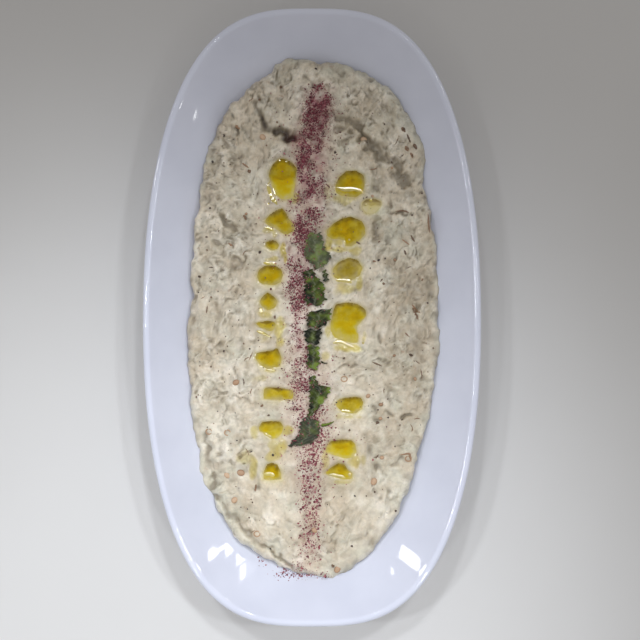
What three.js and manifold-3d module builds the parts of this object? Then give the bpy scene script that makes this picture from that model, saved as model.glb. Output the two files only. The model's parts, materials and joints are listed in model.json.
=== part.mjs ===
// Baba ganoush served in an oval glazed dish: a low heap of mashed aubergine dip with pools of
// oil in two rows, a line of sumac down the middle, chopped parsley, and the dish that holds it.
//
// Millimetres, +Z up. The origin is the middle of the dish's foot, on the surface it stands on.
// +Y runs along the dish, from the near end to the far end.

import * as THREE from 'three';
import { mergeVertices } from 'three/addons/utils/BufferGeometryUtils.js';
import Module from 'manifold-3d';

const wasm = await Module();
wasm.setup();

// ---------------------------------------------------------------- dish
const DISH_LENGTH = 280;
const DISH_WIDTH = 153;
const DISH_HEIGHT = 32;
const DISH_WIDTH_POWER = 3.0;
const DISH_LENGTH_POWER = 2.2;
const LIP_RADIUS = 2;
const WALL_RUN = 42;
const WALL_POWER = 1.6;
const FLOOR_TOP = 6;
const OUTER_POWER = 1.5;
const FOOT_INSET = 38;
const FOOT_WIDTH = 4;
const FOOT_HEIGHT = 2;
const DISH_SIDES = 72;
const INNER_STEPS = 8;
const OUTER_STEPS = 6;
const LIP_STEPS = 3;

// ---------------------------------------------------------------- dip
const HEAP_HALF_WIDTH = 58.6;
const HEAP_FAR_LENGTH = 131;
const HEAP_NEAR_LENGTH = 111;
const HEAP_MIDDLE_Y = -10;
const HEAP_FAR_POWERS = [2.2, 2.9];
const HEAP_NEAR_POWERS = [2.0, 2.0];
const HEAP_EDGE_WAVE = 0.9;
const HEAP_TOP = 30;
const HEAP_EDGE_TOP = 21;
const HEAP_DOME_POWER = 1.35;
const HEAP_CELLS = [26, 46];
const LUMP_SIZE = 13;
const LUMP_HEIGHT = 1.5;
const SMALL_LUMP_SIZE = 7;
const SMALL_LUMP_HEIGHT = 1.0;
const STRIP_HALF_WIDTH = 27;
const STRIP_FAR_Y = 92;
const STRIP_NEAR_Y = -96;
const STRIP_DEPTH = 0.7;
const STRIP_LUMPS = 0.25;
const FIT_GAP = 0.3;

// Grooves left by the spoon: the path's corners, its depth, and half its width.
const GROOVES = [
  { path: [[8, 94], [17, 93], [24.5, 87], [27, 79], [33, 74], [41, 66]], depth: 2.0, reach: 3.6 },
  { path: [[-42.5, -84], [-27, -100], [-12, -113]], depth: 1.6, reach: 2.8 },
];

// ---------------------------------------------------------------- oil
// Each pool: middle x and y, half its width, half its length, and its depth.
const POOLS = {
  oil_left_1: [[-13.5, 61.4, 6.8, 10.0, 2.4]],
  oil_left_2: [[-14.9, 42.3, 6.6, 4.8, 2.1]],
  oil_left_3: [[-18.5, 31.3, 2.6, 2.3, 1.4]],
  oil_left_4: [[-19.0, 17.4, 5.9, 4.6, 2.0]],
  oil_left_5: [[-19.8, 5.9, 4.4, 4.0, 1.7]],
  oil_left_6: [[-20.6, -5.3, 4.8, 2.4, 1.5]],
  oil_left_7: [[-19.4, -20.0, 6.2, 4.3, 2.0]],
  oil_left_8: [[-15.2, -35.9, 6.4, 2.6, 1.6]],
  oil_left_9: [[-18.9, -52.7, 5.6, 3.7, 1.8]],
  oil_left_10: [[-17.9, -71.6, 4.1, 3.7, 1.8]],
  oil_right_1: [[17.5, 59.3, 6.7, 6.3, 2.2]],
  oil_right_2: [[27.0, 49.5, 3.4, 3.4, 1.4]],
  oil_right_3: [[15.5, 38.3, 9.2, 6.2, 2.4]],
  oil_right_4: [[16.6, 20.0, 6.6, 5.3, 1.6]],
  oil_right_5: [[17.1, 0.4, 8.0, 5.0, 2.6], [14.6, -7.3, 6.0, 4.3, 2.2]],
  oil_right_6: [[17.1, -41.2, 6.3, 3.9, 2.0]],
  oil_right_7: [[12.9, -61.0, 7.1, 4.0, 2.3]],
  oil_right_8: [[12.7, -71.5, 5.8, 3.4, 2.0]],
};
const POOL_CELLS = [3, 3];
const POOL_BELOW_DIP = 0.2;
const POOL_EDGE_DEPTH = 0.5;

// ---------------------------------------------------------------- parsley
// Each leaf is a run of cuts from its far end to its near end: y, left edge and right edge.
const LEAVES = {
  parsley_leaf_1: [
    [36.7, -1.4, 4.0], [29.0, -3.5, 6.0], [26.5, -3.5, 8.8],
    [22.2, -0.1, 5.8], [20.6, 1.5, 4.0],
  ],
  parsley_leaf_2: [
    [19.9, -4.2, 0.4], [14.4, -2.8, 4.5], [9.0, -3.8, 5.1],
    [6.7, -3.5, 6.5], [3.8, -1.9, 3.5],
  ],
  parsley_leaf_3: [
    [2.2, 6.3, 8.7], [0.6, -1.9, 8.5], [-2.3, -2.2, 8.1],
    [-5.0, -2.3, 6.0], [-6.4, -2.2, 4.5],
  ],
  parsley_leaf_4: [[-7.1, -3.7, 4.4], [-9.1, -3.5, 4.0], [-11.8, -3.0, 3.3], [-13.6, -2.3, 3.1]],
  parsley_leaf_5: [
    [-14.3, -2.3, 3.1], [-16.8, -1.6, 3.0], [-19.5, -1.9, 3.3],
    [-22.2, -2.4, 3.3], [-25.1, -1.6, 1.7],
  ],
  parsley_leaf_6: [
    [-28.3, -1.1, 1.3], [-32.1, -1.0, 3.1], [-33.3, -1.1, 8.6],
    [-36.2, -1.1, 7.4], [-42.9, -1.4, 2.4], [-46.5, -2.1, -0.1],
  ],
  parsley_leaf_7: [
    [-47.0, -3.9, 0.4], [-48.8, -5.2, 2.9], [-54.1, -5.5, 3.0],
    [-56.4, -8.2, 1.7], [-58.2, -9.9, -0.5], [-59.7, -10.4, -6.8],
  ],
  parsley_leaf_8: [[20.0, 4.8, 6.2], [18.0, 4.8, 6.8], [15.8, 5.1, 7.3], [14.5, 5.8, 6.9]],
};
const LEAF_COLUMNS = 4;
const LEAF_THICKNESS = 0.6;
const LEAF_LIFT = 0.8;
const LEAF_RIPPLE = 0.45;

// Each shred: its two ends, and its width.
const SHREDS = {
  parsley_shred_1: [[4.1, -50.3], [9.9, -48.6], 1.5],
  parsley_shred_2: [[4.0, -21.5], [7.0, -22.2], 1.2],
};
const SHRED_CELLS = [1, 5];

// ---------------------------------------------------------------- sumac and seeds
const SUMAC_LINE = [
  [5.5, 99], [0.5, 80], [-1, 52], [-6, 22], [-6, -8], [-2, -42], [1, -68], [-1, -98], [-2, -112],
];
const SUMAC_GRAINS = 52;
const SUMAC_SPREAD = 7;
const SUMAC_RADII = [0.7, 1.15];
const SEEDS = [
  [-38.7, -73.2], [-32.3, -71.9], [-38.5, -53.8], [-35.3, -84.4], [-34.1, -31.7], [-22.7, 81.3],
  [28.0, -75.9], [43.7, -62.9], [-24.4, -97.9], [34.1, 25.2], [43.0, 85.1], [44.2, 76.3],
  [-31.9, 9.2], [45.2, -18.8],
];
const SEED_HALF_SIZES = [1.7, 1.3, 0.8];
const TOPPING_CLEARANCE = 1.1;

// ---------------------------------------------------------------- helpers
// A seeded stream of numbers from 0 to 1.
function seededStream(seed) {
  let state = seed >>> 0;
  return () => {
    state = (state + 0x6d2b79f5) >>> 0;
    let mixed = Math.imul(state ^ (state >>> 15), state | 1);
    mixed ^= mixed + Math.imul(mixed ^ (mixed >>> 7), mixed | 61);
    return ((mixed ^ (mixed >>> 14)) >>> 0) / 4294967296;
  };
}

// A fixed value from -1 to 1 for each crossing of a square lattice.
function latticeValue(column, row, seed) {
  return seededStream(Math.imul(column, 7349) ^ Math.imul(row, 91639) ^ Math.imul(seed, 52711))() * 2 - 1;
}

// Smooth lumps from -1 to 1, about one lump to each cell of the given size.
function lumps(x, y, size, seed) {
  const column = Math.floor(x / size);
  const row = Math.floor(y / size);
  const across = THREE.MathUtils.smoothstep(x / size - column, 0, 1);
  const along = THREE.MathUtils.smoothstep(y / size - row, 0, 1);
  const near = THREE.MathUtils.lerp(
    latticeValue(column, row, seed), latticeValue(column + 1, row, seed), across);
  const far = THREE.MathUtils.lerp(
    latticeValue(column, row + 1, seed), latticeValue(column + 1, row + 1, seed), across);
  return THREE.MathUtils.lerp(near, far, along);
}

function distanceToPath(x, y, path) {
  let nearest = Infinity;
  for (let i = 1; i < path.length; i += 1) {
    const [ax, ay] = path[i - 1];
    const [bx, by] = path[i];
    const length = (bx - ax) ** 2 + (by - ay) ** 2;
    const along = THREE.MathUtils.clamp(((x - ax) * (bx - ax) + (y - ay) * (by - ay)) / length, 0, 1);
    nearest = Math.min(nearest, Math.hypot(x - ax - along * (bx - ax), y - ay - along * (by - ay)));
  }
  return nearest;
}

function geometryFrom(points, triangles) {
  const geometry = new THREE.BufferGeometry();
  geometry.setAttribute('position', new THREE.Float32BufferAttribute(points.flat(), 3));
  geometry.setIndex(triangles.flat());
  return geometry;
}

function solidFrom(geometry) {
  const bare = geometry.clone();
  bare.deleteAttribute('normal');
  bare.deleteAttribute('uv');
  const merged = mergeVertices(bare, 1e-4);
  return new wasm.Manifold(new wasm.Mesh({
    numProp: 3,
    vertProperties: new Float32Array(merged.attributes.position.array),
    triVerts: new Uint32Array(merged.index.array),
  }));
}

function geometryOf(solid) {
  const mesh = solid.getMesh();
  const geometry = new THREE.BufferGeometry();
  geometry.setAttribute('position', new THREE.BufferAttribute(mesh.vertProperties, 3));
  geometry.setIndex(new THREE.BufferAttribute(mesh.triVerts, 1));
  return geometry;
}

// A closed solid through rings of equal count, from its lowest middle point to its last one.
function ringSolid(first, rings, last) {
  const count = rings[0].length;
  const points = [first, ...rings.flat(), last];
  const triangles = [];
  for (let side = 0; side < count; side += 1) {
    const next = (side + 1) % count;
    triangles.push([0, 1 + next, 1 + side]);
    for (let ring = 1; ring < rings.length; ring += 1) {
      const below = 1 + (ring - 1) * count;
      const above = below + count;
      triangles.push([below + side, below + next, above + next]);
      triangles.push([below + side, above + next, above + side]);
    }
    const top = 1 + (rings.length - 1) * count;
    triangles.push([top + side, top + next, points.length - 1]);
  }
  return geometryFrom(points, triangles);
}

// A closed solid between two faces on one grid. place(u, v), with u and v from -1 to 1, gives
// x, y, the upper face's height and the lower face's height. Both faces split alike.
function sheetSolid([columns, rows], place) {
  const upper = [];
  const lower = [];
  for (let row = 0; row <= rows; row += 1) {
    for (let column = 0; column <= columns; column += 1) {
      const [x, y, high, low] = place((2 * column) / columns - 1, (2 * row) / rows - 1);
      upper.push([x, y, high]);
      lower.push([x, y, low]);
    }
  }
  const under = upper.length;
  const at = (column, row) => row * (columns + 1) + column;
  const triangles = [];
  for (let row = 0; row < rows; row += 1) {
    for (let column = 0; column < columns; column += 1) {
      const corners = [at(column, row), at(column + 1, row), at(column + 1, row + 1), at(column, row + 1)];
      const start = (column < columns / 2) === (row < rows / 2) ? 0 : 1;
      const [a, b, c, d] = [0, 1, 2, 3].map((step) => corners[(start + step) % 4]);
      triangles.push([a, b, c], [a, c, d]);
      triangles.push([under + c, under + b, under + a], [under + d, under + c, under + a]);
    }
  }
  const edge = [];
  for (let column = 0; column < columns; column += 1) edge.push(at(column, 0));
  for (let row = 0; row < rows; row += 1) edge.push(at(columns, row));
  for (let column = columns; column > 0; column -= 1) edge.push(at(column, rows));
  for (let row = rows; row > 0; row -= 1) edge.push(at(0, row));
  edge.forEach((a, i) => {
    const b = edge[(i + 1) % edge.length];
    triangles.push([under + a, under + b, b], [under + a, b, a]);
  });
  return geometryFrom([...upper, ...lower], triangles);
}

// Spreads a square evenly over a disc: radius from 0 to 1, and direction.
function squareToDisc(u, v) {
  if (u === 0 && v === 0) return { radius: 0, turn: 0 };
  const quarter = Math.PI / 4;
  if (Math.abs(u) >= Math.abs(v)) {
    return { radius: Math.abs(u), turn: u > 0 ? quarter * (v / u) : Math.PI + quarter * (v / u) };
  }
  return { radius: Math.abs(v), turn: (v > 0 ? Math.PI / 2 : -Math.PI / 2) - quarter * (u / v) };
}

function signedPower(value, power) {
  return Math.sign(value) * Math.abs(value) ** power;
}

// ---------------------------------------------------------------- dish
function dishPoint(turn, inset, z) {
  return [
    (DISH_WIDTH / 2 - inset) * signedPower(Math.cos(turn), 2 / DISH_WIDTH_POWER),
    (DISH_LENGTH / 2 - inset) * signedPower(Math.sin(turn), 2 / DISH_LENGTH_POWER),
    z,
  ];
}

// Turns that step evenly along the dish's outline, each quarter the mirror of the next.
function evenTurns(count) {
  const fine = 2000;
  const lengths = [0];
  for (let i = 1; i <= fine; i += 1) {
    const [ax, ay] = dishPoint(((i - 1) / fine) * (Math.PI / 2), 0, 0);
    const [bx, by] = dishPoint((i / fine) * (Math.PI / 2), 0, 0);
    lengths.push(lengths[i - 1] + Math.hypot(bx - ax, by - ay));
  }
  const perQuarter = count / 4;
  const quarter = [0];
  for (let step = 1; step < perQuarter; step += 1) {
    const wanted = (lengths[fine] * step) / perQuarter;
    quarter.push((lengths.findIndex((length) => length >= wanted) / fine) * (Math.PI / 2));
  }
  const mirrored = [Math.PI / 2, ...quarter.slice(1).reverse().map((turn) => Math.PI - turn)];
  const half = [...quarter, ...mirrored];
  return [...half, ...half.map((turn) => turn + Math.PI)];
}

const DISH_TURNS = evenTurns(DISH_SIDES);
const LIP_INNER_INSET = LIP_RADIUS * (1 + Math.SQRT1_2);
const LIP_INNER_TOP = DISH_HEIGHT - LIP_RADIUS * (1 - Math.SQRT1_2);

function dishRing(inset, z) {
  return DISH_TURNS.map((turn) => dishPoint(turn, inset, z));
}

function innerWallHeight(inset) {
  const left = THREE.MathUtils.clamp(1 - (inset - LIP_INNER_INSET) / WALL_RUN, 0, 1);
  return FLOOR_TOP + (LIP_INNER_TOP - FLOOR_TOP) * left ** WALL_POWER;
}

function outerWallHeight(inset) {
  return FOOT_HEIGHT + (DISH_HEIGHT - LIP_RADIUS - FOOT_HEIGHT) * (1 - inset / FOOT_INSET) ** OUTER_POWER;
}

// The rings of the dish's inside, from the floor up to the lip, raised by a lift.
function innerRings(lift) {
  const rings = [];
  for (let step = INNER_STEPS; step >= 0; step -= 1) {
    const inset = LIP_INNER_INSET + (WALL_RUN * step) / INNER_STEPS;
    rings.push(dishRing(inset, innerWallHeight(inset) + lift));
  }
  return rings;
}

function makeDish() {
  const underside = [
    dishRing(FOOT_INSET + FOOT_WIDTH + FOOT_HEIGHT, FOOT_HEIGHT),
    dishRing(FOOT_INSET + FOOT_WIDTH, 0),
    dishRing(FOOT_INSET, 0),
  ];
  const outside = [];
  for (let step = 0; step <= OUTER_STEPS; step += 1) {
    const inset = FOOT_INSET * (1 - step / OUTER_STEPS);
    outside.push(dishRing(inset, outerWallHeight(inset)));
  }
  const lip = [];
  for (let step = 1; step < LIP_STEPS; step += 1) {
    const angle = Math.PI * (1 - (0.75 * step) / LIP_STEPS);
    lip.push(dishRing(
      LIP_RADIUS * (1 + Math.cos(angle)),
      DISH_HEIGHT - LIP_RADIUS * (1 - Math.sin(angle))));
  }
  const inside = innerRings(0).reverse();
  return ringSolid(
    [0, 0, FOOT_HEIGHT], [...underside, ...outside, ...lip, ...inside], [0, 0, FLOOR_TOP]);
}

// The room inside the dish, a fit gap above its glaze, closed well above the heap.
function makeRoomInDish() {
  const rings = innerRings(FIT_GAP);
  const lid = DISH_HEIGHT * 2;
  return solidFrom(ringSolid(
    [0, 0, FLOOR_TOP + FIT_GAP], [...rings, dishRing(0, lid)], [0, 0, lid]));
}

// ---------------------------------------------------------------- dip
function heapPoint(radius, turn) {
  const far = Math.sin(turn) > 0;
  const [acrossPower, alongPower] = far ? HEAP_FAR_POWERS : HEAP_NEAR_POWERS;
  const length = far ? HEAP_FAR_LENGTH : HEAP_NEAR_LENGTH;
  const wave = Math.sin(3 * turn + 0.4) + Math.sin(7 * turn + 1.9) + 0.8 * Math.sin(12 * turn);
  const reach = radius * (1 + (HEAP_EDGE_WAVE * wave) / HEAP_FAR_LENGTH);
  return [
    reach * HEAP_HALF_WIDTH * signedPower(Math.cos(turn), 2 / acrossPower),
    HEAP_MIDDLE_Y + reach * length * signedPower(Math.sin(turn), 2 / alongPower),
  ];
}

// 0 at the heap's middle and 1 along its edge.
function heapFullness(x, y) {
  const far = y > HEAP_MIDDLE_Y;
  const [acrossPower, alongPower] = far ? HEAP_FAR_POWERS : HEAP_NEAR_POWERS;
  const length = far ? HEAP_FAR_LENGTH : HEAP_NEAR_LENGTH;
  return Math.abs(x / HEAP_HALF_WIDTH) ** acrossPower
    + Math.abs((y - HEAP_MIDDLE_Y) / length) ** alongPower;
}

// 1 inside the smooth spooned strip along the heap, 0 outside it.
function stripShare(x, y) {
  const { smoothstep } = THREE.MathUtils;
  return (1 - smoothstep(Math.abs(x), STRIP_HALF_WIDTH - 6, STRIP_HALF_WIDTH + 6))
    * (1 - smoothstep(y, STRIP_FAR_Y - 10, STRIP_FAR_Y + 4))
    * smoothstep(y, STRIP_NEAR_Y - 4, STRIP_NEAR_Y + 10);
}

function dipTop(x, y) {
  const fullness = Math.min(heapFullness(x, y), 1);
  const dome = HEAP_TOP - (HEAP_TOP - HEAP_EDGE_TOP) * fullness ** HEAP_DOME_POWER;
  const strip = stripShare(x, y);
  const rough = LUMP_HEIGHT * lumps(x, y, LUMP_SIZE, 3)
    + SMALL_LUMP_HEIGHT * lumps(x, y, SMALL_LUMP_SIZE, 8);
  const grooves = GROOVES.reduce((sum, { path, depth, reach }) => (
    sum + depth * Math.exp(-((distanceToPath(x, y, path) / reach) ** 2))), 0);
  return dome + rough * THREE.MathUtils.lerp(1, STRIP_LUMPS, strip) - STRIP_DEPTH * strip - grooves;
}

function makeHeap() {
  const heap = sheetSolid(HEAP_CELLS, (u, v) => {
    const { radius, turn } = squareToDisc(u, v);
    const [x, y] = heapPoint(radius, turn);
    return [x, y, dipTop(x, y), 0];
  });
  return solidFrom(heap).intersect(makeRoomInDish());
}

// ---------------------------------------------------------------- oil
// One bowl of oil with a level top. grow widens it all round, and rise lifts its top.
function poolBowl([middleX, middleY, halfWidth, halfLength, depth], level, grow, rise) {
  return solidFrom(sheetSolid(POOL_CELLS, (u, v) => {
    const { radius, turn } = squareToDisc(u, v);
    const wobble = 1 + 0.06 * Math.sin(2 * turn + middleY) + 0.05 * Math.sin(3 * turn + middleX);
    const x = middleX + radius * wobble * (halfWidth + grow) * Math.cos(turn);
    const y = middleY + radius * wobble * (halfLength + grow) * Math.sin(turn);
    const bed = POOL_EDGE_DEPTH + (depth - POOL_EDGE_DEPTH) * (1 - radius ** 2);
    return [x, y, level + rise, level - bed - grow];
  }));
}

// The oil stands level, just under the lowest point of the dip round its bowls.
function poolLevel(bowls) {
  let lowest = Infinity;
  for (const [x, y, halfWidth, halfLength] of bowls) {
    for (let step = 0; step < 12; step += 1) {
      const turn = (step * Math.PI) / 6;
      lowest = Math.min(lowest, dipTop(x + halfWidth * Math.cos(turn), y + halfLength * Math.sin(turn)));
    }
  }
  return lowest - POOL_BELOW_DIP;
}

function joinedBowls(bowls, grow, rise) {
  const level = poolLevel(bowls);
  return bowls.map((bowl) => poolBowl(bowl, level, grow, rise)).reduce((all, bowl) => all.add(bowl));
}

// ---------------------------------------------------------------- parsley
function makeLeaf(cuts) {
  const [phase] = cuts[0];
  return sheetSolid([LEAF_COLUMNS, cuts.length - 1], (u, v) => {
    const [y, left, right] = cuts[Math.round(((v + 1) / 2) * (cuts.length - 1))];
    const x = THREE.MathUtils.lerp(right, left, (u + 1) / 2);
    const wave = 1 + Math.sin(1.9 * x + phase) * Math.cos(1.3 * y + phase);
    const low = dipTop(x, y) + LEAF_LIFT + LEAF_RIPPLE * wave * Math.max(Math.abs(u), Math.abs(v));
    return [x, y, low + LEAF_THICKNESS, low];
  });
}

function makeShred([[ax, ay], [bx, by], width]) {
  const length = Math.hypot(bx - ax, by - ay);
  const sideX = (by - ay) / length;
  const sideY = (ax - bx) / length;
  return sheetSolid(SHRED_CELLS, (u, v) => {
    const along = (v + 1) / 2;
    const side = (u * width * (1 - 0.5 * v * v)) / 2 + 0.5 * Math.sin(Math.PI * along);
    const x = ax + (bx - ax) * along + sideX * side;
    const y = ay + (by - ay) * along + sideY * side;
    const low = dipTop(x, y) + LEAF_LIFT + LEAF_RIPPLE * (1 + Math.sin(5 * along));
    return [x, y, low + LEAF_THICKNESS, low];
  });
}

// ---------------------------------------------------------------- sumac and seeds
// True where a topping of this radius would reach oil, parsley or the heap's edge.
function meetsAnother(x, y, radius) {
  const room = radius + TOPPING_CLEARANCE;
  const inOval = ([middleX, middleY, halfWidth, halfLength]) => (
    ((x - middleX) / (halfWidth + room)) ** 2 + ((y - middleY) / (halfLength + room)) ** 2 < 1.2);
  const nearLeaf = (cuts) => (
    cuts[0][0] + room > y && cuts[cuts.length - 1][0] - room < y
    && Math.min(...cuts.map(([, left]) => left)) - room < x
    && Math.max(...cuts.map(([, , right]) => right)) + room > x);
  return Object.values(POOLS).flat().some(inOval)
    || Object.values(LEAVES).some(nearLeaf)
    || Object.values(SHREDS).some(([start, end, width]) => (
      distanceToPath(x, y, [start, end]) < width + room))
    || heapFullness(x, y) > 0.86;
}

function makeCrumb(x, y, [halfLength, halfWidth, halfHeight], turn) {
  const crumb = new THREE.IcosahedronGeometry(1, 0);
  crumb.scale(halfLength, halfWidth, halfHeight);
  crumb.rotateZ(turn);
  crumb.translate(x, y, dipTop(x, y) + 0.35 * halfHeight);
  return solidFrom(crumb);
}

function makeToppings() {
  const random = seededStream(41);
  const line = new THREE.CatmullRomCurve3(SUMAC_LINE.map(([x, y]) => new THREE.Vector3(x, y, 0)));
  const crumbs = [];
  const placed = [];
  const place = (x, y, sizes) => {
    const turn = random() * Math.PI;
    const crowded = placed.some(([px, py, reach]) => Math.hypot(x - px, y - py) < reach + sizes[0] + 0.4);
    if (crowded || meetsAnother(x, y, sizes[0])) return;
    crumbs.push(makeCrumb(x, y, sizes, turn));
    placed.push([x, y, sizes[0]]);
  };
  for (const [x, y] of SEEDS) place(x, y, SEED_HALF_SIZES);
  const total = crumbs.length + SUMAC_GRAINS;
  for (let attempt = 0; attempt < SUMAC_GRAINS * 12 && crumbs.length < total; attempt += 1) {
    const middle = line.getPointAt(random());
    const size = THREE.MathUtils.lerp(...SUMAC_RADII, random());
    const x = middle.x + SUMAC_SPREAD * (random() + random() - 1);
    place(x, middle.y, [size * 1.15, size * 0.9, size * 0.75]);
  }
  return crumbs.reduce((all, crumb) => all.add(crumb));
}

// ---------------------------------------------------------------- the served dish
const finishes = {
  glaze: { color: 0xe9ecf2, roughness: 0.12, metalness: 0 },
  dip: { color: 0xd3ccb8, roughness: 0.6, metalness: 0 },
  oil: { color: 0xb99a05, roughness: 0.05, metalness: 0 },
  parsley: { color: 0x3d5a24, roughness: 0.5, metalness: 0 },
};

const served = new THREE.Group();

function addPiece(name, geometry, finish) {
  const mesh = new THREE.Mesh(geometry, new THREE.MeshStandardMaterial(finishes[finish]));
  mesh.name = name;
  served.add(mesh);
}

addPiece('dish', makeDish(), 'glaze');

let dip = makeHeap().add(makeToppings());
for (const bowls of Object.values(POOLS)) {
  dip = dip.subtract(joinedBowls(bowls, FIT_GAP, LUMP_HEIGHT * 4));
}
addPiece('dip', geometryOf(dip), 'dip');

for (const [name, bowls] of Object.entries(POOLS)) {
  addPiece(name, geometryOf(joinedBowls(bowls, 0, 0)), 'oil');
}
for (const [name, leaf] of Object.entries(LEAVES)) addPiece(name, makeLeaf(leaf), 'parsley');
for (const [name, shred] of Object.entries(SHREDS)) addPiece(name, makeShred(shred), 'parsley');

export default served;
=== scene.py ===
"""Baba ganoush in an oval glazed dish: the dip, its oil, sumac, seeds and parsley, and the dish.

Sizes are in millimetres in the dish's own frame, with +Z up, +Y towards the far end, and the
origin under the middle of the dish. Meshes are written in metres.
"""
import json
import logging
import math
from dataclasses import dataclass, field
from enum import Enum

import bpy
import numpy as np
from mathutils import Matrix, Vector

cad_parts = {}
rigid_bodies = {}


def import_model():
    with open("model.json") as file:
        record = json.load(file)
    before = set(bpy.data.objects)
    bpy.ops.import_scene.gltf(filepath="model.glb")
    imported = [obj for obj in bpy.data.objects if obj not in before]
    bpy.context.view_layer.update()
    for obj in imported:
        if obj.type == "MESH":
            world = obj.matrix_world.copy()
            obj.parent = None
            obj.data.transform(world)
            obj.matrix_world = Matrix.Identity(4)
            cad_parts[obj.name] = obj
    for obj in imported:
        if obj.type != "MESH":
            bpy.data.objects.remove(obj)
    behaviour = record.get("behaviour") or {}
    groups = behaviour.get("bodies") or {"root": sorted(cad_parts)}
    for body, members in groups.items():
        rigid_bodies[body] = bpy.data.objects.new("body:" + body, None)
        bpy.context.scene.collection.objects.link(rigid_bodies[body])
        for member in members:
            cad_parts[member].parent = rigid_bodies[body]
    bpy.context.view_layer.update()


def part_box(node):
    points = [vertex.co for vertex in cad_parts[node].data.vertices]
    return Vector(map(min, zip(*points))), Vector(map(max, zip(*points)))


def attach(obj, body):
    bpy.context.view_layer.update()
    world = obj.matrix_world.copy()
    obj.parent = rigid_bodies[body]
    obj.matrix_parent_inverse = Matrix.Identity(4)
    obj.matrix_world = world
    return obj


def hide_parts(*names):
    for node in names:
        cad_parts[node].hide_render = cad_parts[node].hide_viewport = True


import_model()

MM = 0.001
BODY = "root"
log = logging.getLogger("baba_ganoush")

Points = np.ndarray
Place = tuple[float, float, float]
Colour = tuple[float, float, float]
Path = tuple[tuple[float, float], ...]
Mesh = tuple[Points, Points]
Material = bpy.types.Material
Node = bpy.types.Node
Object = bpy.types.Object
Socket = bpy.types.NodeSocket
Tree = bpy.types.NodeTree


class Slot(Enum):
    """The record's material slots."""

    GLAZE = "glaze"
    DIP = "dip"
    SUMAC = "sumac"
    SEED = "seed"
    OIL = "oil"
    PARSLEY = "parsley"


class Layer(Enum):
    """Names of the numbers kept at each point of a mesh."""

    CREASE = "crease"
    TINT = "tint"
    OIL_DEPTH = "oil_depth"
    STAIN = "stain"
    SHADE = "shade"
    VEIN = "vein"
    COARSE = "coarse"
    HUE = "hue"


# ---------------------------------------------------------------- plain helpers
def smoothstep(low: float, high: float, value: Points) -> Points:
    """Return 0 below low, 1 above high, and a smooth rise between them."""
    share = np.clip((value - low) / (high - low), 0.0, 1.0)
    return share * share * (3.0 - 2.0 * share)


def lerp(first: Points, second: Points, share: Points) -> Points:
    """Return the value that lies the given share of the way from first to second."""
    return first + (second - first) * share


def signed_power(value: Points, power: float) -> Points:
    """Raise the size of a value to a power and keep its sign."""
    return np.sign(value) * np.abs(value) ** power


def distance_to_path(x: Points, y: Points, path: Path) -> Points:
    """Measure how far points lie from a path of straight stretches.

    Args:
        x, y: The points' places.
        path: The path's corners.

    Returns:
        The distance of each point.
    """
    nearest = np.full(np.shape(x), np.inf)
    for (ax, ay), (bx, by) in zip(path[:-1], path[1:]):
        length = (bx - ax) ** 2 + (by - ay) ** 2
        along = np.clip(((x - ax) * (bx - ax) + (y - ay) * (by - ay)) / length, 0.0, 1.0)
        gap = np.hypot(x - ax - along * (bx - ax), y - ay - along * (by - ay))
        nearest = np.minimum(nearest, gap)
    return nearest


def lattice_values(column: Points, row: Points, seed: int) -> Points:
    """Give each crossing of a square lattice a fixed value from -1 to 1.

    Args:
        column: The crossings' columns.
        row: The crossings' rows.
        seed: Chooses one of many such lattices.

    Returns:
        One value for each crossing.
    """
    mask = 0xFFFFFFFF
    keys = ((column * 7349) & mask) ^ ((row * 91639) & mask) ^ ((seed * 52711) & mask)
    state = (keys.astype(np.uint64) + np.uint64(0x6D2B79F5)) & np.uint64(mask)
    one, odd = np.uint64(1), np.uint64(61)
    mixed = ((state ^ (state >> np.uint64(15))) * (state | one)) & np.uint64(mask)
    product = ((mixed ^ (mixed >> np.uint64(7))) * (mixed | odd)) & np.uint64(mask)
    mixed = mixed ^ ((mixed + product) & np.uint64(mask))
    mixed = mixed ^ (mixed >> np.uint64(14))
    return mixed.astype(float) / 4294967296.0 * 2.0 - 1.0


def lumps(x: Points, y: Points, size: float, seed: int) -> Points:
    """Give smooth lumps from -1 to 1, about one to each cell of the given size.

    Args:
        x, y: The points' places.
        size: The cell size.
        seed: Chooses the pattern.

    Returns:
        The lumps' height at each point.
    """
    column = np.floor(x / size).astype(np.int64)
    row = np.floor(y / size).astype(np.int64)
    across = smoothstep(0.0, 1.0, x / size - column)
    along = smoothstep(0.0, 1.0, y / size - row)
    near = lerp(lattice_values(column, row, seed), lattice_values(column + 1, row, seed), across)
    far = lerp(
        lattice_values(column, row + 1, seed), lattice_values(column + 1, row + 1, seed), across)
    return lerp(near, far, along)


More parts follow.
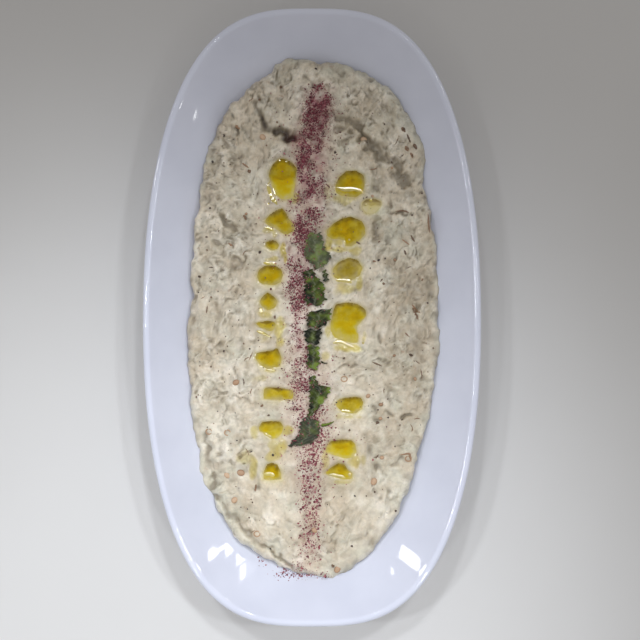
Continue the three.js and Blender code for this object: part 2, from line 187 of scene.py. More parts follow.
# ---------------------------------------------------------------- meshes
@dataclass
class MeshPiece:
    """One closed mesh, its faces and the numbers kept at its points."""

    name: str
    points: Points
    faces: Points
    layers: dict[Layer, Points] = field(default_factory=dict)

    def build(self, material: Material, slot: Slot, *nodes: str) -> Object:
        """Make the Blender object, ride it on the body and let it stand for CAD nodes.

        Args:
            material: The finish.
            slot: The record's slot that the finish belongs to; not used.
            nodes: The CAD nodes that this piece stands for.

        Returns:
            The new object.
        """
        mesh = bpy.data.meshes.new(self.name)
        sides = self.faces.shape[1]
        mesh.vertices.add(len(self.points))
        mesh.vertices.foreach_set("co", (self.points * MM).astype(np.float32).ravel())
        mesh.loops.add(self.faces.size)
        mesh.loops.foreach_set("vertex_index", self.faces.astype(np.int32).ravel())
        mesh.polygons.add(len(self.faces))
        mesh.polygons.foreach_set("loop_start", np.arange(0, self.faces.size, sides, dtype=np.int32))
        mesh.update(calc_edges=True)
        mesh.validate()
        mesh.shade_smooth()
        for layer, values in self.layers.items():
            kept = mesh.attributes.new(layer.value, "FLOAT", "POINT")
            kept.data.foreach_set("value", np.asarray(values, dtype=np.float32).ravel())
        mesh.materials.append(material)
        piece = add_object(self.name, mesh)
        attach(piece, BODY)
        if nodes:
            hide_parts(*nodes)
        log.info("%s: %d points, %d faces", self.name, len(self.points), len(self.faces))
        return piece


def add_object(name: str, data: bpy.types.ID) -> Object:
    """Make an object around a mesh, a light or a camera and put it in the scene.

    Args:
        name: The object's name.
        data: What it holds.

    Returns:
        The object.
    """
    made = bpy.data.objects.new(name, data)
    bpy.context.scene.collection.objects.link(made)
    return made


def ring_faces(rings: int, sides: int) -> Points:
    """Return the quads that join rings of equal count, one after the other.

    Args:
        rings: How many rings there are.
        sides: How many points each ring has.

    Returns:
        The quads, of shape (count, 4).
    """
    ring, side = np.meshgrid(np.arange(rings - 1), np.arange(sides), indexing="ij")
    after = (side + 1) % sides
    corners = [ring * sides + side, ring * sides + after]
    corners += [(ring + 1) * sides + after, (ring + 1) * sides + side]
    return np.stack(corners, axis=-1).reshape(-1, 4)


def halved(quads: Points) -> Points:
    """Return the triangles that quads split into."""
    return np.concatenate([quads[:, [0, 1, 2]], quads[:, [0, 2, 3]]])


def joined_edges(first: Points, second: Points) -> Points:
    """Return the quads between two closed runs of points of equal count."""
    return np.stack([first, second, np.roll(second, -1), np.roll(first, -1)], axis=-1)


def grid_faces(shape: tuple[int, int]) -> Mesh:
    """Join a grid of points.

    Args:
        shape: The grid's rows and columns.

    Returns:
        The quads, and the points along the grid's border in order.
    """
    index = np.arange(shape[0] * shape[1]).reshape(shape)
    quads = np.stack([index[:-1, :-1], index[:-1, 1:], index[1:, 1:], index[1:, :-1]], axis=-1)
    border = np.concatenate([index[0, :-1], index[:-1, -1], index[-1, :0:-1], index[:0:-1, 0]])
    return quads.reshape(-1, 4), border


def closed_rings(rings: Points) -> Mesh:
    """Close a run of rings at both ends.

    Args:
        rings: Points of shape (rings, sides, 3), from the lowest middle outwards and back.

    Returns:
        The points and the triangles.
    """
    count, sides, _ = rings.shape
    triangles = halved(ring_faces(count, sides))
    first, last = count * sides, count * sides + 1
    side = np.arange(sides)
    after = (side + 1) % sides
    start = np.stack([np.full(sides, first), after, side], axis=-1)
    top = (count - 1) * sides
    end = np.stack([top + side, top + after, np.full(sides, last)], axis=-1)
    middles = np.stack([rings[0].mean(axis=0), rings[-1].mean(axis=0)])
    points = np.concatenate([rings.reshape(-1, 3), middles])
    return points, np.concatenate([triangles, start, end])


def strand(path: Points, half_width: Points, half_height: Points, sides: int = 10
          ) -> Mesh:
    """Sweep an oval along a path.

    Args:
        path: The path's points, of shape (count, 3).
        half_width: Half the strand's width at each point.
        half_height: Half its thickness at each point.
        sides: The number of sides of the oval.

    Returns:
        The points and the triangles.
    """
    along = np.gradient(path[:, :2], axis=0)
    along /= np.linalg.norm(along, axis=1, keepdims=True)
    turn = np.linspace(0.0, 2 * math.pi, sides, endpoint=False)
    flat = half_width[:, None] * np.cos(turn)
    rings = np.stack([
        path[:, :1] - along[:, 1:] * flat, path[:, 1:2] + along[:, :1] * flat,
        path[:, 2:] + half_height[:, None] * np.sin(turn)], axis=-1)
    return closed_rings(rings)


def joined(parts: list[Mesh]) -> Mesh:
    """Return several meshes' points and faces as one mesh.

    Args:
        parts: The meshes.

    Returns:
        The points and the faces.
    """
    starts = np.cumsum([0] + [len(points) for points, _ in parts[:-1]])
    faces = [faces + start for (_, faces), start in zip(parts, starts)]
    return np.concatenate([points for points, _ in parts]), np.concatenate(faces)


def smooth_path(path: Path, step: float = 0.4) -> Points:
    """Return points that step along a path whose corners are rounded.

    Args:
        path: The path's corners.
        step: The distance between points, in millimetres.

    Returns:
        The points, of shape (count, 2).
    """
    corners = np.array(path, dtype=float)
    lengths = np.concatenate([[0.0], np.cumsum(np.linalg.norm(np.diff(corners, axis=0), axis=1))])
    count = max(int(lengths[-1] / step), 6)
    wanted = np.linspace(0.0, lengths[-1], count + 1)
    points = np.stack([np.interp(wanted, lengths, corners[:, i]) for i in (0, 1)], axis=-1)
    for _ in range(4):
        points[1:-1] = (points[:-2] + 2 * points[1:-1] + points[2:]) / 4
    return points


# ---------------------------------------------------------------- shader nodes
class Sheet:
    """Adds nodes to one node tree and joins them."""

    def __init__(self, tree: Tree) -> None:
        """Keep the tree that the nodes go into."""
        self.tree = tree

    def node(self, kind: str, **settings: object) -> Node:
        """Add a node and set its properties.

        Args:
            kind: The node's type.
            settings: Its properties by name.

        Returns:
            The node.
        """
        node = self.tree.nodes.new(kind)
        for name, value in settings.items():
            setattr(node, name, value)
        return node

    def feed(self, target: Socket, source: object) -> None:
        """Link a socket to the target, or set the target's own value.

        Args:
            target: The socket to feed.
            source: A socket, a number or a colour.
        """
        if isinstance(source, Socket):
            self.tree.links.new(source, target)
        else:
            target.default_value = source

    def math(self, operation: str, *values: object) -> Socket:
        """Return the outcome of one arithmetic step.

        Args:
            operation: The step's name.
            values: What it works on.

        Returns:
            The outcome's socket.
        """
        node = self.node("ShaderNodeMath", operation=operation)
        for target, value in zip(node.inputs, values):
            self.feed(target, value)
        return node.outputs[0]

    def mix(self, share: object, first: object, second: object, blend: str = "MIX") -> Socket:
        """Return a mix of two colours.

        Args:
            share: The second colour's share, or the strength of the blend.
            first: The first colour.
            second: The second colour.
            blend: The blend type.

        Returns:
            The mixed colour.
        """
        node = self.node("ShaderNodeMix", data_type="RGBA", blend_type=blend)
        self.feed(node.inputs[0], share)
        self.feed(node.inputs[6], first)
        self.feed(node.inputs[7], second)
        return node.outputs[2]

    def spread(self, value: object, low: float, high: float, bottom: float, top: float) -> Socket:
        """Return a value carried from one range to another, kept inside the new range.

        Args:
            value: The value.
            low, high: The range it comes from.
            bottom, top: The range it goes to.

        Returns:
            The carried value's socket.
        """
        node = self.node("ShaderNodeMapRange", clamp=True)
        for target, given in zip(node.inputs, (value, low, high, bottom, top)):
            self.feed(target, given)
        return node.outputs[0]

    def noise(self, size: float, detail: float = 2.0, roughness: float = 0.5) -> Socket:
        """Return noise over the piece whose features are the given size in millimetres.

        Args:
            size: The features' size.
            detail: How many finer layers are added.
            roughness: The finer layers' strength.

        Returns:
            The noise, from 0 to 1.
        """
        place = self.node("ShaderNodeTexCoord")
        node = self.node("ShaderNodeTexNoise")
        self.feed(node.inputs["Vector"], place.outputs["Object"])
        self.feed(node.inputs["Scale"], 1.0 / (size * MM))
        self.feed(node.inputs["Detail"], detail)
        self.feed(node.inputs["Roughness"], roughness)
        return node.outputs[0]

    def layer(self, layer: Layer) -> Socket:
        """Return the numbers kept at the mesh's points."""
        return self.node("ShaderNodeAttribute", attribute_name=layer.value).outputs["Fac"]

    def bump(self, height: object, depth: float, strength: float = 1.0) -> Socket:
        """Return a normal bumped by a height, with the depth in millimetres.

        Args:
            height: The height, from 0 to 1.
            depth: The depth.
            strength: How strong the bump is.

        Returns:
            The normal's socket.
        """
        node = self.node("ShaderNodeBump")
        self.feed(node.inputs["Strength"], strength)
        self.feed(node.inputs["Distance"], depth * MM)
        self.feed(node.inputs["Height"], height)
        return node.outputs[0]

    def group(self, group: Tree, **values: object) -> Node:
        """Place a node group and feed its inputs by name.

        Args:
            group: The group.
            values: What feeds each input.

        Returns:
            The placed group.
        """
        node = self.node("ShaderNodeGroup", node_tree=group)
        for name, value in values.items():
            self.feed(node.inputs[name.replace("_", " ")], value)
        return node


def rgba(colour: Colour) -> tuple[float, float, float, float]:
    """Return a colour with full opacity."""
    return (*colour, 1.0)


def new_group(name: str, inputs: dict[str, tuple[str, object]], outputs: dict[str, str]
             ) -> tuple[Tree, Node, Node]:
    """Make an empty shader node group.

    Args:
        name: The group's name.
        inputs: Each input's socket type and default value.
        outputs: Each output's socket type.

    Returns:
        The group, and its input and output nodes.
    """
    group = bpy.data.node_groups.new(name, "ShaderNodeTree")
    for title, (kind, value) in inputs.items():
        socket = group.interface.new_socket(name=title, in_out="INPUT", socket_type=kind)
        socket.default_value = value
    for title, kind in outputs.items():
        group.interface.new_socket(name=title, in_out="OUTPUT", socket_type=kind)
    return group, group.nodes.new("NodeGroupInput"), group.nodes.new("NodeGroupOutput")


def make_oil_tint(clear: Colour) -> Tree:
    """Make the group that shows a colour through a depth of oil.

    Args:
        clear: The share of red, green and blue that passes one millimetre of oil.

    Returns:
        The group, with the colour below and the depth in millimetres as its inputs.
    """
    group, given, result = new_group(
        "oil tint",
        {"Below": ("NodeSocketColor", (1.0, 1.0, 1.0, 1.0)), "Depth": ("NodeSocketFloat", 0.0)},
        {"Colour": "NodeSocketColor"})
    sheet = Sheet(group)
    passed = sheet.node("ShaderNodeCombineColor")
    for target, share in zip(passed.inputs, clear):
        sheet.feed(target, sheet.math("POWER", share, given.outputs["Depth"]))
    colour = sheet.mix(1.0, given.outputs["Below"], passed.outputs[0], "MULTIPLY")
    sheet.feed(result.inputs["Colour"], colour)
    return group


def make_speckle() -> Tree:
    """Make the group that varies a colour and gives a fine uneven height.

    Returns:
        The group, with a colour, an amount and a feature size as its inputs.
    """
    group, given, result = new_group(
        "speckle",
        {"Colour": ("NodeSocketColor", (1.0, 1.0, 1.0, 1.0)), "Amount": ("NodeSocketFloat", 0.1),
         "Features": ("NodeSocketFloat", 1000.0)},
        {"Colour": "NodeSocketColor", "Height": "NodeSocketFloat"})
    sheet = Sheet(group)
    place = sheet.node("ShaderNodeTexCoord")
    noise = sheet.node("ShaderNodeTexNoise")
    sheet.feed(noise.inputs["Vector"], place.outputs["Object"])
    sheet.feed(noise.inputs["Scale"], given.outputs["Features"])
    sheet.feed(noise.inputs["Detail"], 3.0)
    swing = sheet.math("MULTIPLY", sheet.math("SUBTRACT", noise.outputs[0], 0.5), 2.0)
    bright = sheet.math("ADD", 1.0, sheet.math("MULTIPLY", swing, given.outputs["Amount"]))
    grey = sheet.node("ShaderNodeCombineColor")
    for target in grey.inputs:
        sheet.feed(target, bright)
    colour = sheet.mix(1.0, given.outputs["Colour"], grey.outputs[0], "MULTIPLY")
    sheet.feed(result.inputs["Colour"], colour)
    sheet.feed(result.inputs["Height"], noise.outputs[0])
    return group


class SharedEffects:
    """The node groups that more than one finish uses, each built once."""

    OIL_CLEAR: Colour = (0.975, 0.87, 0.070)

    def __init__(self) -> None:
        """Build the groups."""
        self.oil_tint = make_oil_tint(self.OIL_CLEAR)
        self.speckle = make_speckle()


def new_material(name: str, colour: Colour, roughness: float) -> tuple[Material, Sheet, Node]:
    """Make a material with one Principled shader.

    Args:
        name: The material's name.
        colour: The colour shown in the viewport and the shader's own base colour.
        roughness: The shader's own roughness.

    Returns:
        The material, its node sheet and its shader.
    """
    material = bpy.data.materials.new(name)
    material.use_nodes = True
    material.diffuse_color = rgba(colour)
    shader = material.node_tree.nodes["Principled BSDF"]
    shader.inputs["Base Color"].default_value = rgba(colour)
    shader.inputs["Roughness"].default_value = roughness
    return material, Sheet(material.node_tree), shader


# ---------------------------------------------------------------- finishes
@dataclass(frozen=True)
class GlazeFinish:
    """Cool white glaze, faintly uneven, with a bare foot ring."""

    white: Colour = (0.685, 0.705, 0.80)
    shaded: Colour = (0.65, 0.67, 0.765)
    biscuit: Colour = (0.62, 0.56, 0.48)
    roughness: float = 0.045
    cloud_size: float = 26.0
    gloss_size: float = 9.0
    wave_size: float = 14.0
    wave_depth: float = 0.08
    bare_below: float = 0.35
    bare_fade: float = 0.5
    bare_roughness: float = 0.85
    clay_size: float = 0.6

    def material(self, effects: SharedEffects) -> Material:
        """Return the glaze.

        Args:
            effects: The shared node groups.

        Returns:
            The material.
        """
        material, sheet, shader = new_material("glaze", self.white, self.roughness)
        cloudy = sheet.spread(sheet.noise(self.cloud_size, 3.0), 0.38, 0.62, 0.0, 1.0)
        glaze = sheet.mix(cloudy, rgba(self.white), rgba(self.shaded))
        place = sheet.node("ShaderNodeTexCoord")
        height = sheet.node("ShaderNodeSeparateXYZ")
        sheet.feed(height.inputs[0], place.outputs["Object"])
        low, high = self.bare_below * MM, (self.bare_below + self.bare_fade) * MM
        bare = sheet.spread(height.outputs[2], low, high, 1.0, 0.0)
        clay = sheet.group(
            effects.speckle, Colour=rgba(self.biscuit), Amount=0.35, Features=1.0 / (self.clay_size * MM))
        sheet.feed(shader.inputs["Base Color"], sheet.mix(bare, glaze, clay.outputs["Colour"]))
        gloss = sheet.spread(
            sheet.noise(self.gloss_size), 0.35, 0.65, self.roughness * 0.8, self.roughness * 1.3)
        rough = sheet.math("MAXIMUM", gloss, sheet.math("MULTIPLY", bare, self.bare_roughness))
        sheet.feed(shader.inputs["Roughness"], rough)
        sheet.feed(shader.inputs["Normal"], sheet.bump(sheet.noise(self.wave_size, 1.0), self.wave_depth))
        return material


@dataclass(frozen=True)
class DipFinish:
    """Mashed aubergine: pale cream, with painted olive-grey shade in its creases, pink under the sumac."""

    cream: Colour = (0.635, 0.560, 0.425)
    pale: Colour = (0.840, 0.765, 0.630)
    tan: Colour = (0.480, 0.400, 0.282)
    # Painted shade colours: one for creases, gaps and pool banks, and a near black one for the deepest
    # hollows.
    crease: Colour = (0.220, 0.182, 0.124)
    pit_painted_shadow: Colour = (0.066, 0.046, 0.030)
    skin: Colour = (0.390, 0.240, 0.155)
    grey: Colour = (0.465, 0.445, 0.375)
    green: Colour = (0.560, 0.565, 0.445)
    rosy: Colour = (0.665, 0.540, 0.385)
    soaked: Colour = (0.430, 0.330, 0.195)
    stain: Colour = (0.400, 0.140, 0.155)
    roughness: float = 0.42
    lump_size: float = 2.6
    lump_height: float = 0.30
    warp_size: float = 2.2
    warp_reach: Place = (2.0, 2.0, 1.0)
    clump_size: float = 7.0
    grey_size: float = 4.5
    skin_size: float = 2.6
    speck_size: float = 1.1
    gloss_size: float = 2.4
    gloss_range: float = 0.12
    wet_roughness: float = 0.10
    wet_depth: float = 0.12
    soaked_depth: float = 0.25
    grain_size: float = 0.8
    grain_height: float = 0.14
    glow: float = 0.10
    glow_reach: Place = (1.2, 0.9, 0.6)

    def lumps(self, sheet: Sheet) -> tuple[Socket, Socket]:
        """Return the fine lumps' height, and the gaps between them that get painted shade.

        Args:
            sheet: The material's node sheet.

        Returns:
            The lumps' height and the gaps, each from 0 to 1.
        """
        place = sheet.node("ShaderNodeTexCoord").outputs["Object"]
        warp = sheet.node("ShaderNodeTexNoise")
        sheet.feed(warp.inputs["Vector"], place)
        sheet.feed(warp.inputs["Scale"], 1.0 / (self.warp_size * MM))
        shift = sheet.node("ShaderNodeVectorMath", operation="MULTIPLY_ADD")
        sheet.feed(shift.inputs[0], warp.outputs["Color"])
        sheet.feed(shift.inputs[1], tuple(reach * MM for reach in self.warp_reach))
        sheet.feed(shift.inputs[2], place)
        outputs = []
        for feature in ("SMOOTH_F1", "DISTANCE_TO_EDGE"):
            cells = sheet.node("ShaderNodeTexVoronoi", feature=feature)
            sheet.feed(cells.inputs["Vector"], shift.outputs[0])
            sheet.feed(cells.inputs["Scale"], 1.0 / (self.lump_size * MM))
            outputs.append(cells.outputs["Distance"])
        height = sheet.spread(outputs[0], 0.05, 0.65, 1.0, 0.0)
        return height, sheet.spread(outputs[1], 0.015, 0.13, 1.0, 0.0)

    def material(self, effects: SharedEffects) -> Material:
        """Return the dip.

        Args:
            effects: The shared node groups.

        Returns:
            The material.
        """
        material, sheet, shader = new_material("dip", self.cream, self.roughness)
        tint = sheet.layer(Layer.TINT)
        coarse = sheet.layer(Layer.COARSE)
        lump, gap = self.lumps(sheet)
        clumped = sheet.spread(sheet.noise(self.clump_size), 0.42, 0.58, 0.15, 1.0)
        shown = sheet.math("MULTIPLY", coarse, clumped)
        # Painted light and shade: the colour is lighter on the lumps' tops and darker in their dips.
        swell = sheet.math("MULTIPLY", sheet.math("SUBTRACT", lump, 0.5), sheet.math("MULTIPLY", shown, 0.26))
        tint = sheet.math("ADD", tint, swell)
        colour = sheet.mix(sheet.spread(tint, 0.0, 0.55, 0.0, 1.0), rgba(self.tan), rgba(self.cream))
        colour = sheet.mix(sheet.spread(tint, 0.5, 1.0, 0.0, 1.0), colour, rgba(self.pale))
        hue = sheet.layer(Layer.HUE)
        colour = sheet.mix(sheet.spread(hue, 0.0, 1.0, 0.0, 0.45), colour, rgba(self.green))
        colour = sheet.mix(sheet.spread(hue, -1.0, 0.0, 0.45, 0.0), colour, rgba(self.rosy))
        cloudy = sheet.spread(sheet.noise(self.grey_size), 0.50, 0.72, 0.0, 0.4)
        colour = sheet.mix(sheet.math("MULTIPLY", cloudy, coarse), colour, rgba(self.grey))
        skin = sheet.spread(sheet.noise(self.skin_size, roughness=0.6), 0.64, 0.76, 0.0, 0.6)
        colour = sheet.mix(sheet.math("MULTIPLY", skin, coarse), colour, rgba(self.skin))
        fine = sheet.group(
            effects.speckle, Colour=colour, Amount=0.16, Features=1.0 / (self.speck_size * MM))
        # Painted shade: the crease layer darkens creases, gaps between flaps, groove shadows and pool banks.
        seen = sheet.spread(sheet.layer(Layer.CREASE), 0.0, 1.0, 0.0, 0.85)
        # Painted shade also darkens the gaps between the fine lumps.
        crease = sheet.math("MAXIMUM", seen,
                            sheet.math("MULTIPLY", sheet.math("MULTIPLY", gap, shown), 0.24))
        colour = sheet.mix(crease, fine.outputs["Colour"], rgba(self.crease))
        # Painted shadow: the deepest hollows go nearly black.
        pit_painted_shadow = sheet.spread(sheet.layer(Layer.CREASE), 1.0, 2.0, 0.0, 1.0)
        colour = sheet.mix(pit_painted_shadow, colour, rgba(self.pit_painted_shadow))
        colour = sheet.mix(sheet.layer(Layer.STAIN), colour, rgba(self.stain))
        depth = sheet.layer(Layer.OIL_DEPTH)
        soaked = sheet.spread(depth, 0.0, self.soaked_depth, 0.0, 0.38)
        colour = sheet.mix(soaked, colour, rgba(self.soaked))
        wet = sheet.group(effects.oil_tint, Below=colour, Depth=depth)
        sheet.feed(shader.inputs["Base Color"], wet.outputs["Colour"])
        dry = sheet.spread(sheet.noise(self.gloss_size, 3.0), 0.35, 0.65,
                           self.roughness - self.gloss_range, self.roughness + self.gloss_range)
        rough = sheet.node("ShaderNodeMix", data_type="FLOAT")
        sheet.feed(rough.inputs[0], sheet.spread(depth, 0.0, self.wet_depth, 0.0, 1.0))
        sheet.feed(rough.inputs[2], dry)
        sheet.feed(rough.inputs[3], self.wet_roughness)
        sheet.feed(shader.inputs["Roughness"], rough.outputs[0])
        small = sheet.group(effects.speckle, Features=1.0 / (self.grain_size * MM))
        raised = sheet.math("MULTIPLY", sheet.math("MULTIPLY", lump, shown), self.lump_height)
        grained = sheet.math("MULTIPLY", small.outputs["Height"], self.grain_height)
        height = sheet.math("ADD", raised, grained)
        sheet.feed(shader.inputs["Normal"], sheet.bump(height, 1.0))
        shader.inputs["Subsurface Weight"].default_value = self.glow
        shader.inputs["Subsurface Radius"].default_value = tuple(reach * MM for reach in self.glow_reach)
        return material


@dataclass(frozen=True)
class OilFinish:
    """Olive oil over the dip, deeper in colour where it stands deeper."""

    name: str = "oil"
    below: Colour = (0.455, 0.375, 0.25)
    # Colour of the real dregs, also used for the painted shade along each pool's far bank.
    dregs_and_painted_bank_shade: Colour = (0.135, 0.078, 0.020)
    cream: Colour = (0.620, 0.545, 0.420)
    shown: Colour = (0.4, 0.28, 0.01)
    roughness: float = 0.03
    mirror: float = 0.2
    bending: float = 1.47
    cloud_size: float = 3.6
    bed_size: float = 3.2
    dregs_size: float = 4.2
    bank_size: float = 1.6

    def material(self, effects: SharedEffects) -> Material:
        """Return the oil.

        Args:
            effects: The shared node groups.

        Returns:
            The material.
        """
        material, sheet, shader = new_material(self.name, self.shown, self.roughness)
        cloudy = sheet.spread(sheet.noise(self.cloud_size), 0.35, 0.65, 0.55, 1.25)
        depth = sheet.math("MULTIPLY", sheet.layer(Layer.OIL_DEPTH), cloudy)
        bed = sheet.group(
            effects.speckle, Colour=rgba(self.below), Amount=0.35, Features=1.0 / (self.bed_size * MM))
        settled = sheet.spread(sheet.noise(self.dregs_size, 4.0, 0.62), 0.50, 0.66, 0.0, 0.45)
        settled = sheet.math("MULTIPLY", settled, sheet.spread(depth, 0.6, 1.5, 0.0, 1.0))
        # Painted shade along each pool's far bank, from the shade layer, with the pool's real murk.
        banked = sheet.math("MULTIPLY", sheet.layer(Layer.SHADE),
                            sheet.spread(sheet.noise(self.bank_size), 0.3, 0.65, 0.45, 1.0))
        dark = sheet.spread(sheet.math("ADD", settled, banked), 0.0, 1.0, 0.0, 1.0)
        colour = sheet.mix(dark, bed.outputs["Colour"], rgba(self.dregs_and_painted_bank_shade))
        thin = sheet.spread(sheet.layer(Layer.SHADE), -1.0, -0.5, 1.0, 0.0)
        colour = sheet.mix(thin, colour, rgba(self.cream))
        tinted = sheet.group(effects.oil_tint, Below=colour, Depth=depth)
        sheet.feed(shader.inputs["Base Color"], tinted.outputs["Colour"])
        shader.inputs["IOR"].default_value = self.bending
        shader.inputs["Specular IOR Level"].default_value = self.mirror
        return material


@dataclass(frozen=True)
class ParsleyFinish:
    """Chopped parsley: dark to bright green, with pale veins."""

    dark: Colour = (0.012, 0.014, 0.008)
    green: Colour = (0.056, 0.074, 0.014)
    bright: Colour = (0.150, 0.210, 0.032)
    vein: Colour = (0.22, 0.235, 0.15)
    roughness: float = 0.40
    mirror: float = 0.10

    def material(self, effects: SharedEffects) -> Material:
        """Return the leaf.

        Args:
            effects: The shared node groups.

        Returns:
            The material.
        """
        material, sheet, shader = new_material("parsley", self.green, self.roughness)
        shade = sheet.layer(Layer.SHADE)
        colour = sheet.mix(sheet.spread(shade, 0.0, 0.55, 0.0, 1.0), rgba(self.dark), rgba(self.green))
        colour = sheet.mix(sheet.spread(shade, 0.55, 1.0, 0.0, 1.0), colour, rgba(self.bright))
        colour = sheet.mix(sheet.math("MULTIPLY", sheet.layer(Layer.VEIN), 0.4), colour,
                           rgba(self.vein))
        cells = sheet.group(effects.speckle, Colour=colour, Amount=0.30, Features=1.0 / (0.6 * MM))
        sheet.feed(shader.inputs["Base Color"], cells.outputs["Colour"])
        sheet.feed(shader.inputs["Normal"], sheet.bump(cells.outputs["Height"], 0.08))
        shader.inputs["Specular IOR Level"].default_value = self.mirror
        return material


@dataclass(frozen=True)
class CrumbFinish:
    """Small hard toppings: each crumb has its own shade between three colours."""

    name: str
    dark: Colour
    middle: Colour
    light: Colour
    roughness: float = 0.6

    def material(self, effects: SharedEffects) -> Material:
        """Return the crumbs' finish.

        Args:
            effects: The shared node groups.

        Returns:
            The material.
        """
        material, sheet, shader = new_material(self.name, self.middle, self.roughness)
        shade = sheet.layer(Layer.SHADE)
        colour = sheet.mix(sheet.spread(shade, 0.0, 0.5, 0.0, 1.0), rgba(self.dark), rgba(self.middle))
        colour = sheet.mix(sheet.spread(shade, 0.5, 1.0, 0.0, 1.0), colour, rgba(self.light))
        fine = sheet.group(effects.speckle, Colour=colour, Amount=0.25, Features=1.0 / (0.3 * MM))
        sheet.feed(shader.inputs["Base Color"], fine.outputs["Colour"])
        sheet.feed(shader.inputs["Normal"], sheet.bump(fine.outputs["Height"], 0.05))
        return material


SUMAC_FINISH = CrumbFinish(
    "sumac", (0.060, 0.009, 0.015), (0.235, 0.040, 0.058), (0.50, 0.20, 0.21), 0.7)
SEED_FINISH = CrumbFinish(
    "seed", (0.030, 0.020, 0.016), (0.38, 0.225, 0.125), (0.60, 0.42, 0.27), 0.45)


@dataclass(frozen=True)
class FloorFinish:
    """A plain pale floor."""

    pale: Colour = (0.62, 0.61, 0.59)
    cloud: Colour = (0.65, 0.64, 0.62)
    cloud_size: float = 60.0
    roughness: float = 0.8

    def material(self) -> Material:
        """Return the floor's finish.

        Returns:
            The material.
        """
        material, sheet, shader = new_material("floor", self.pale, self.roughness)
        cloudy = sheet.mix(sheet.noise(self.cloud_size), rgba(self.pale), rgba(self.cloud))
        sheet.feed(shader.inputs["Base Color"], cloudy)
        return material


# ---------------------------------------------------------------- dish
@dataclass
class ServingDish:
    """The oval dish: a rounded lip, a curved wall inside and out, and a foot ring."""

    length: float = 280.0
    width: float = 153.0
    height: float = 32.0
    width_power: float = 3.0
    length_power: float = 2.2
    lip_radius: float = 2.0
    wall_run: float = 42.0
    wall_power: float = 1.6
    floor_top: float = 6.0
    outer_power: float = 1.5
    foot_inset: float = 38.0
    foot_width: float = 4.0
    foot_height: float = 2.0
    sides: int = 288
    inner_steps: int = 44
    outer_steps: int = 26
    lip_steps: int = 12

    def __post_init__(self) -> None:
        """Work out where the lip meets the inside wall."""
        self.inner_inset = self.lip_radius * (1.0 + math.sqrt(0.5))
        self.inner_top = self.height - self.lip_radius * (1.0 - math.sqrt(0.5))

    def point(self, turn: Points, inset: Points, z: Points) -> Points:
        """Return points on the dish's outline, moved inwards by an inset.

        Args:
            turn: The turn at each point.
            inset: How far inwards they lie.
            z: Their height.

        Returns:
            The points.
        """
        x = (self.width / 2 - inset) * signed_power(np.cos(turn), 2 / self.width_power)
        y = (self.length / 2 - inset) * signed_power(np.sin(turn), 2 / self.length_power)
        return np.stack([x, y, np.broadcast_to(z, np.shape(x))], axis=-1)

    def turns(self) -> Points:
        """Return turns that step evenly along the outline.

        Returns:
            One turn for each side, in radians.
        """
        fine = np.linspace(0.0, math.pi / 2, 4001)
        edge = self.point(fine, 0.0, 0.0)
        lengths = np.concatenate([[0.0], np.cumsum(np.linalg.norm(np.diff(edge, axis=0), axis=1))])
        wanted = np.linspace(0.0, lengths[-1], self.sides // 4 + 1)[:-1]
        quarter = np.interp(wanted, lengths, fine)
        mirrored = np.concatenate([[math.pi / 2], math.pi - quarter[1:][::-1]])
        half = np.concatenate([quarter, mirrored])
        return np.concatenate([half, half + math.pi])

    def inner_height(self, inset: Points) -> Points:
        """Return the inside wall's height at an inset from the outline."""
        left = np.clip(1.0 - (inset - self.inner_inset) / self.wall_run, 0.0, 1.0)
        return self.floor_top + (self.inner_top - self.floor_top) * left ** self.wall_power

    def outer_height(self, inset: Points) -> Points:
        """Return the outside wall's height at an inset from the outline."""
        rise = self.height - self.lip_radius - self.foot_height
        return self.foot_height + rise * (1.0 - inset / self.foot_inset) ** self.outer_power

    def inset_at(self, x: Points, y: Points) -> Points:
        """Find how far inside the outline points lie.

        Args:
            x, y: The points' places.

        Returns:
            The inset of each point, from 0 on the outline.
        """
        low = np.zeros(np.shape(x))
        high = np.full(np.shape(x), self.width / 2 - 0.01)
        for _ in range(26):
            middle = (low + high) / 2
            size = np.abs(x / (self.width / 2 - middle)) ** self.width_power
            size += np.abs(y / (self.length / 2 - middle)) ** self.length_power
            inside = size < 1.0
            low = np.where(inside, middle, low)
            high = np.where(inside, high, middle)
        return low

    def surface(self, x: Points, y: Points) -> Points:
        """Return the height of the inside glaze at points."""
        return self.inner_height(self.inset_at(x, y))

    def build(self, material: Material) -> Object:
        """Make the dish.

        Args:
            material: The glaze.

        Returns:
            The dish.
        """
        turns = self.turns()
        foot_end = self.foot_inset + self.foot_width
        profile = [(foot_end + 12.0, self.foot_height), (foot_end + 3.0, self.foot_height)]
        profile += [(foot_end + 0.7, self.foot_height * 0.6), (foot_end, 0.3), (foot_end - 0.5, 0.0)]
        profile += [(self.foot_inset + 0.5, 0.0), (self.foot_inset, 0.3)]
        for step in range(1, self.outer_steps + 1):
            inset = self.foot_inset * (1.0 - step / self.outer_steps)
            profile.append((inset, float(self.outer_height(inset))))
        for step in range(1, self.lip_steps):
            angle = math.pi * (1.0 - 0.75 * step / self.lip_steps)
            profile.append((
                self.lip_radius * (1.0 + math.cos(angle)),
                self.height - self.lip_radius * (1.0 - math.sin(angle))))
        for step in range(self.inner_steps + 1):
            inset = self.inner_inset + self.wall_run * step / self.inner_steps
            profile.append((inset, float(self.inner_height(inset))))
        profile.append((self.inner_inset + self.wall_run + 14.0, self.floor_top))
        rings = np.stack([self.point(turns, inset, z) for inset, z in profile])
        points, faces = closed_rings(rings)
        points[-2] = (0.0, 0.0, self.foot_height)
        points[-1] = (0.0, 0.0, self.floor_top)
        return MeshPiece("serving_dish", points, faces).build(material, Slot.GLAZE, "dish")


# ---------------------------------------------------------------- dip
@dataclass(frozen=True)
class Groove:
    """A groove, fold or hollow in the dip: its path, its depth and half its width."""

    path: Path
    depth: float
    reach: float

    def cut(self, x: Points, y: Points, uneven: Points = 1.0) -> Points:
        """Return how far the groove goes down at points, with its width made uneven."""
        reach = self.reach * uneven
        return self.depth * np.exp(-((distance_to_path(x, y, self.path) / reach) ** 2))


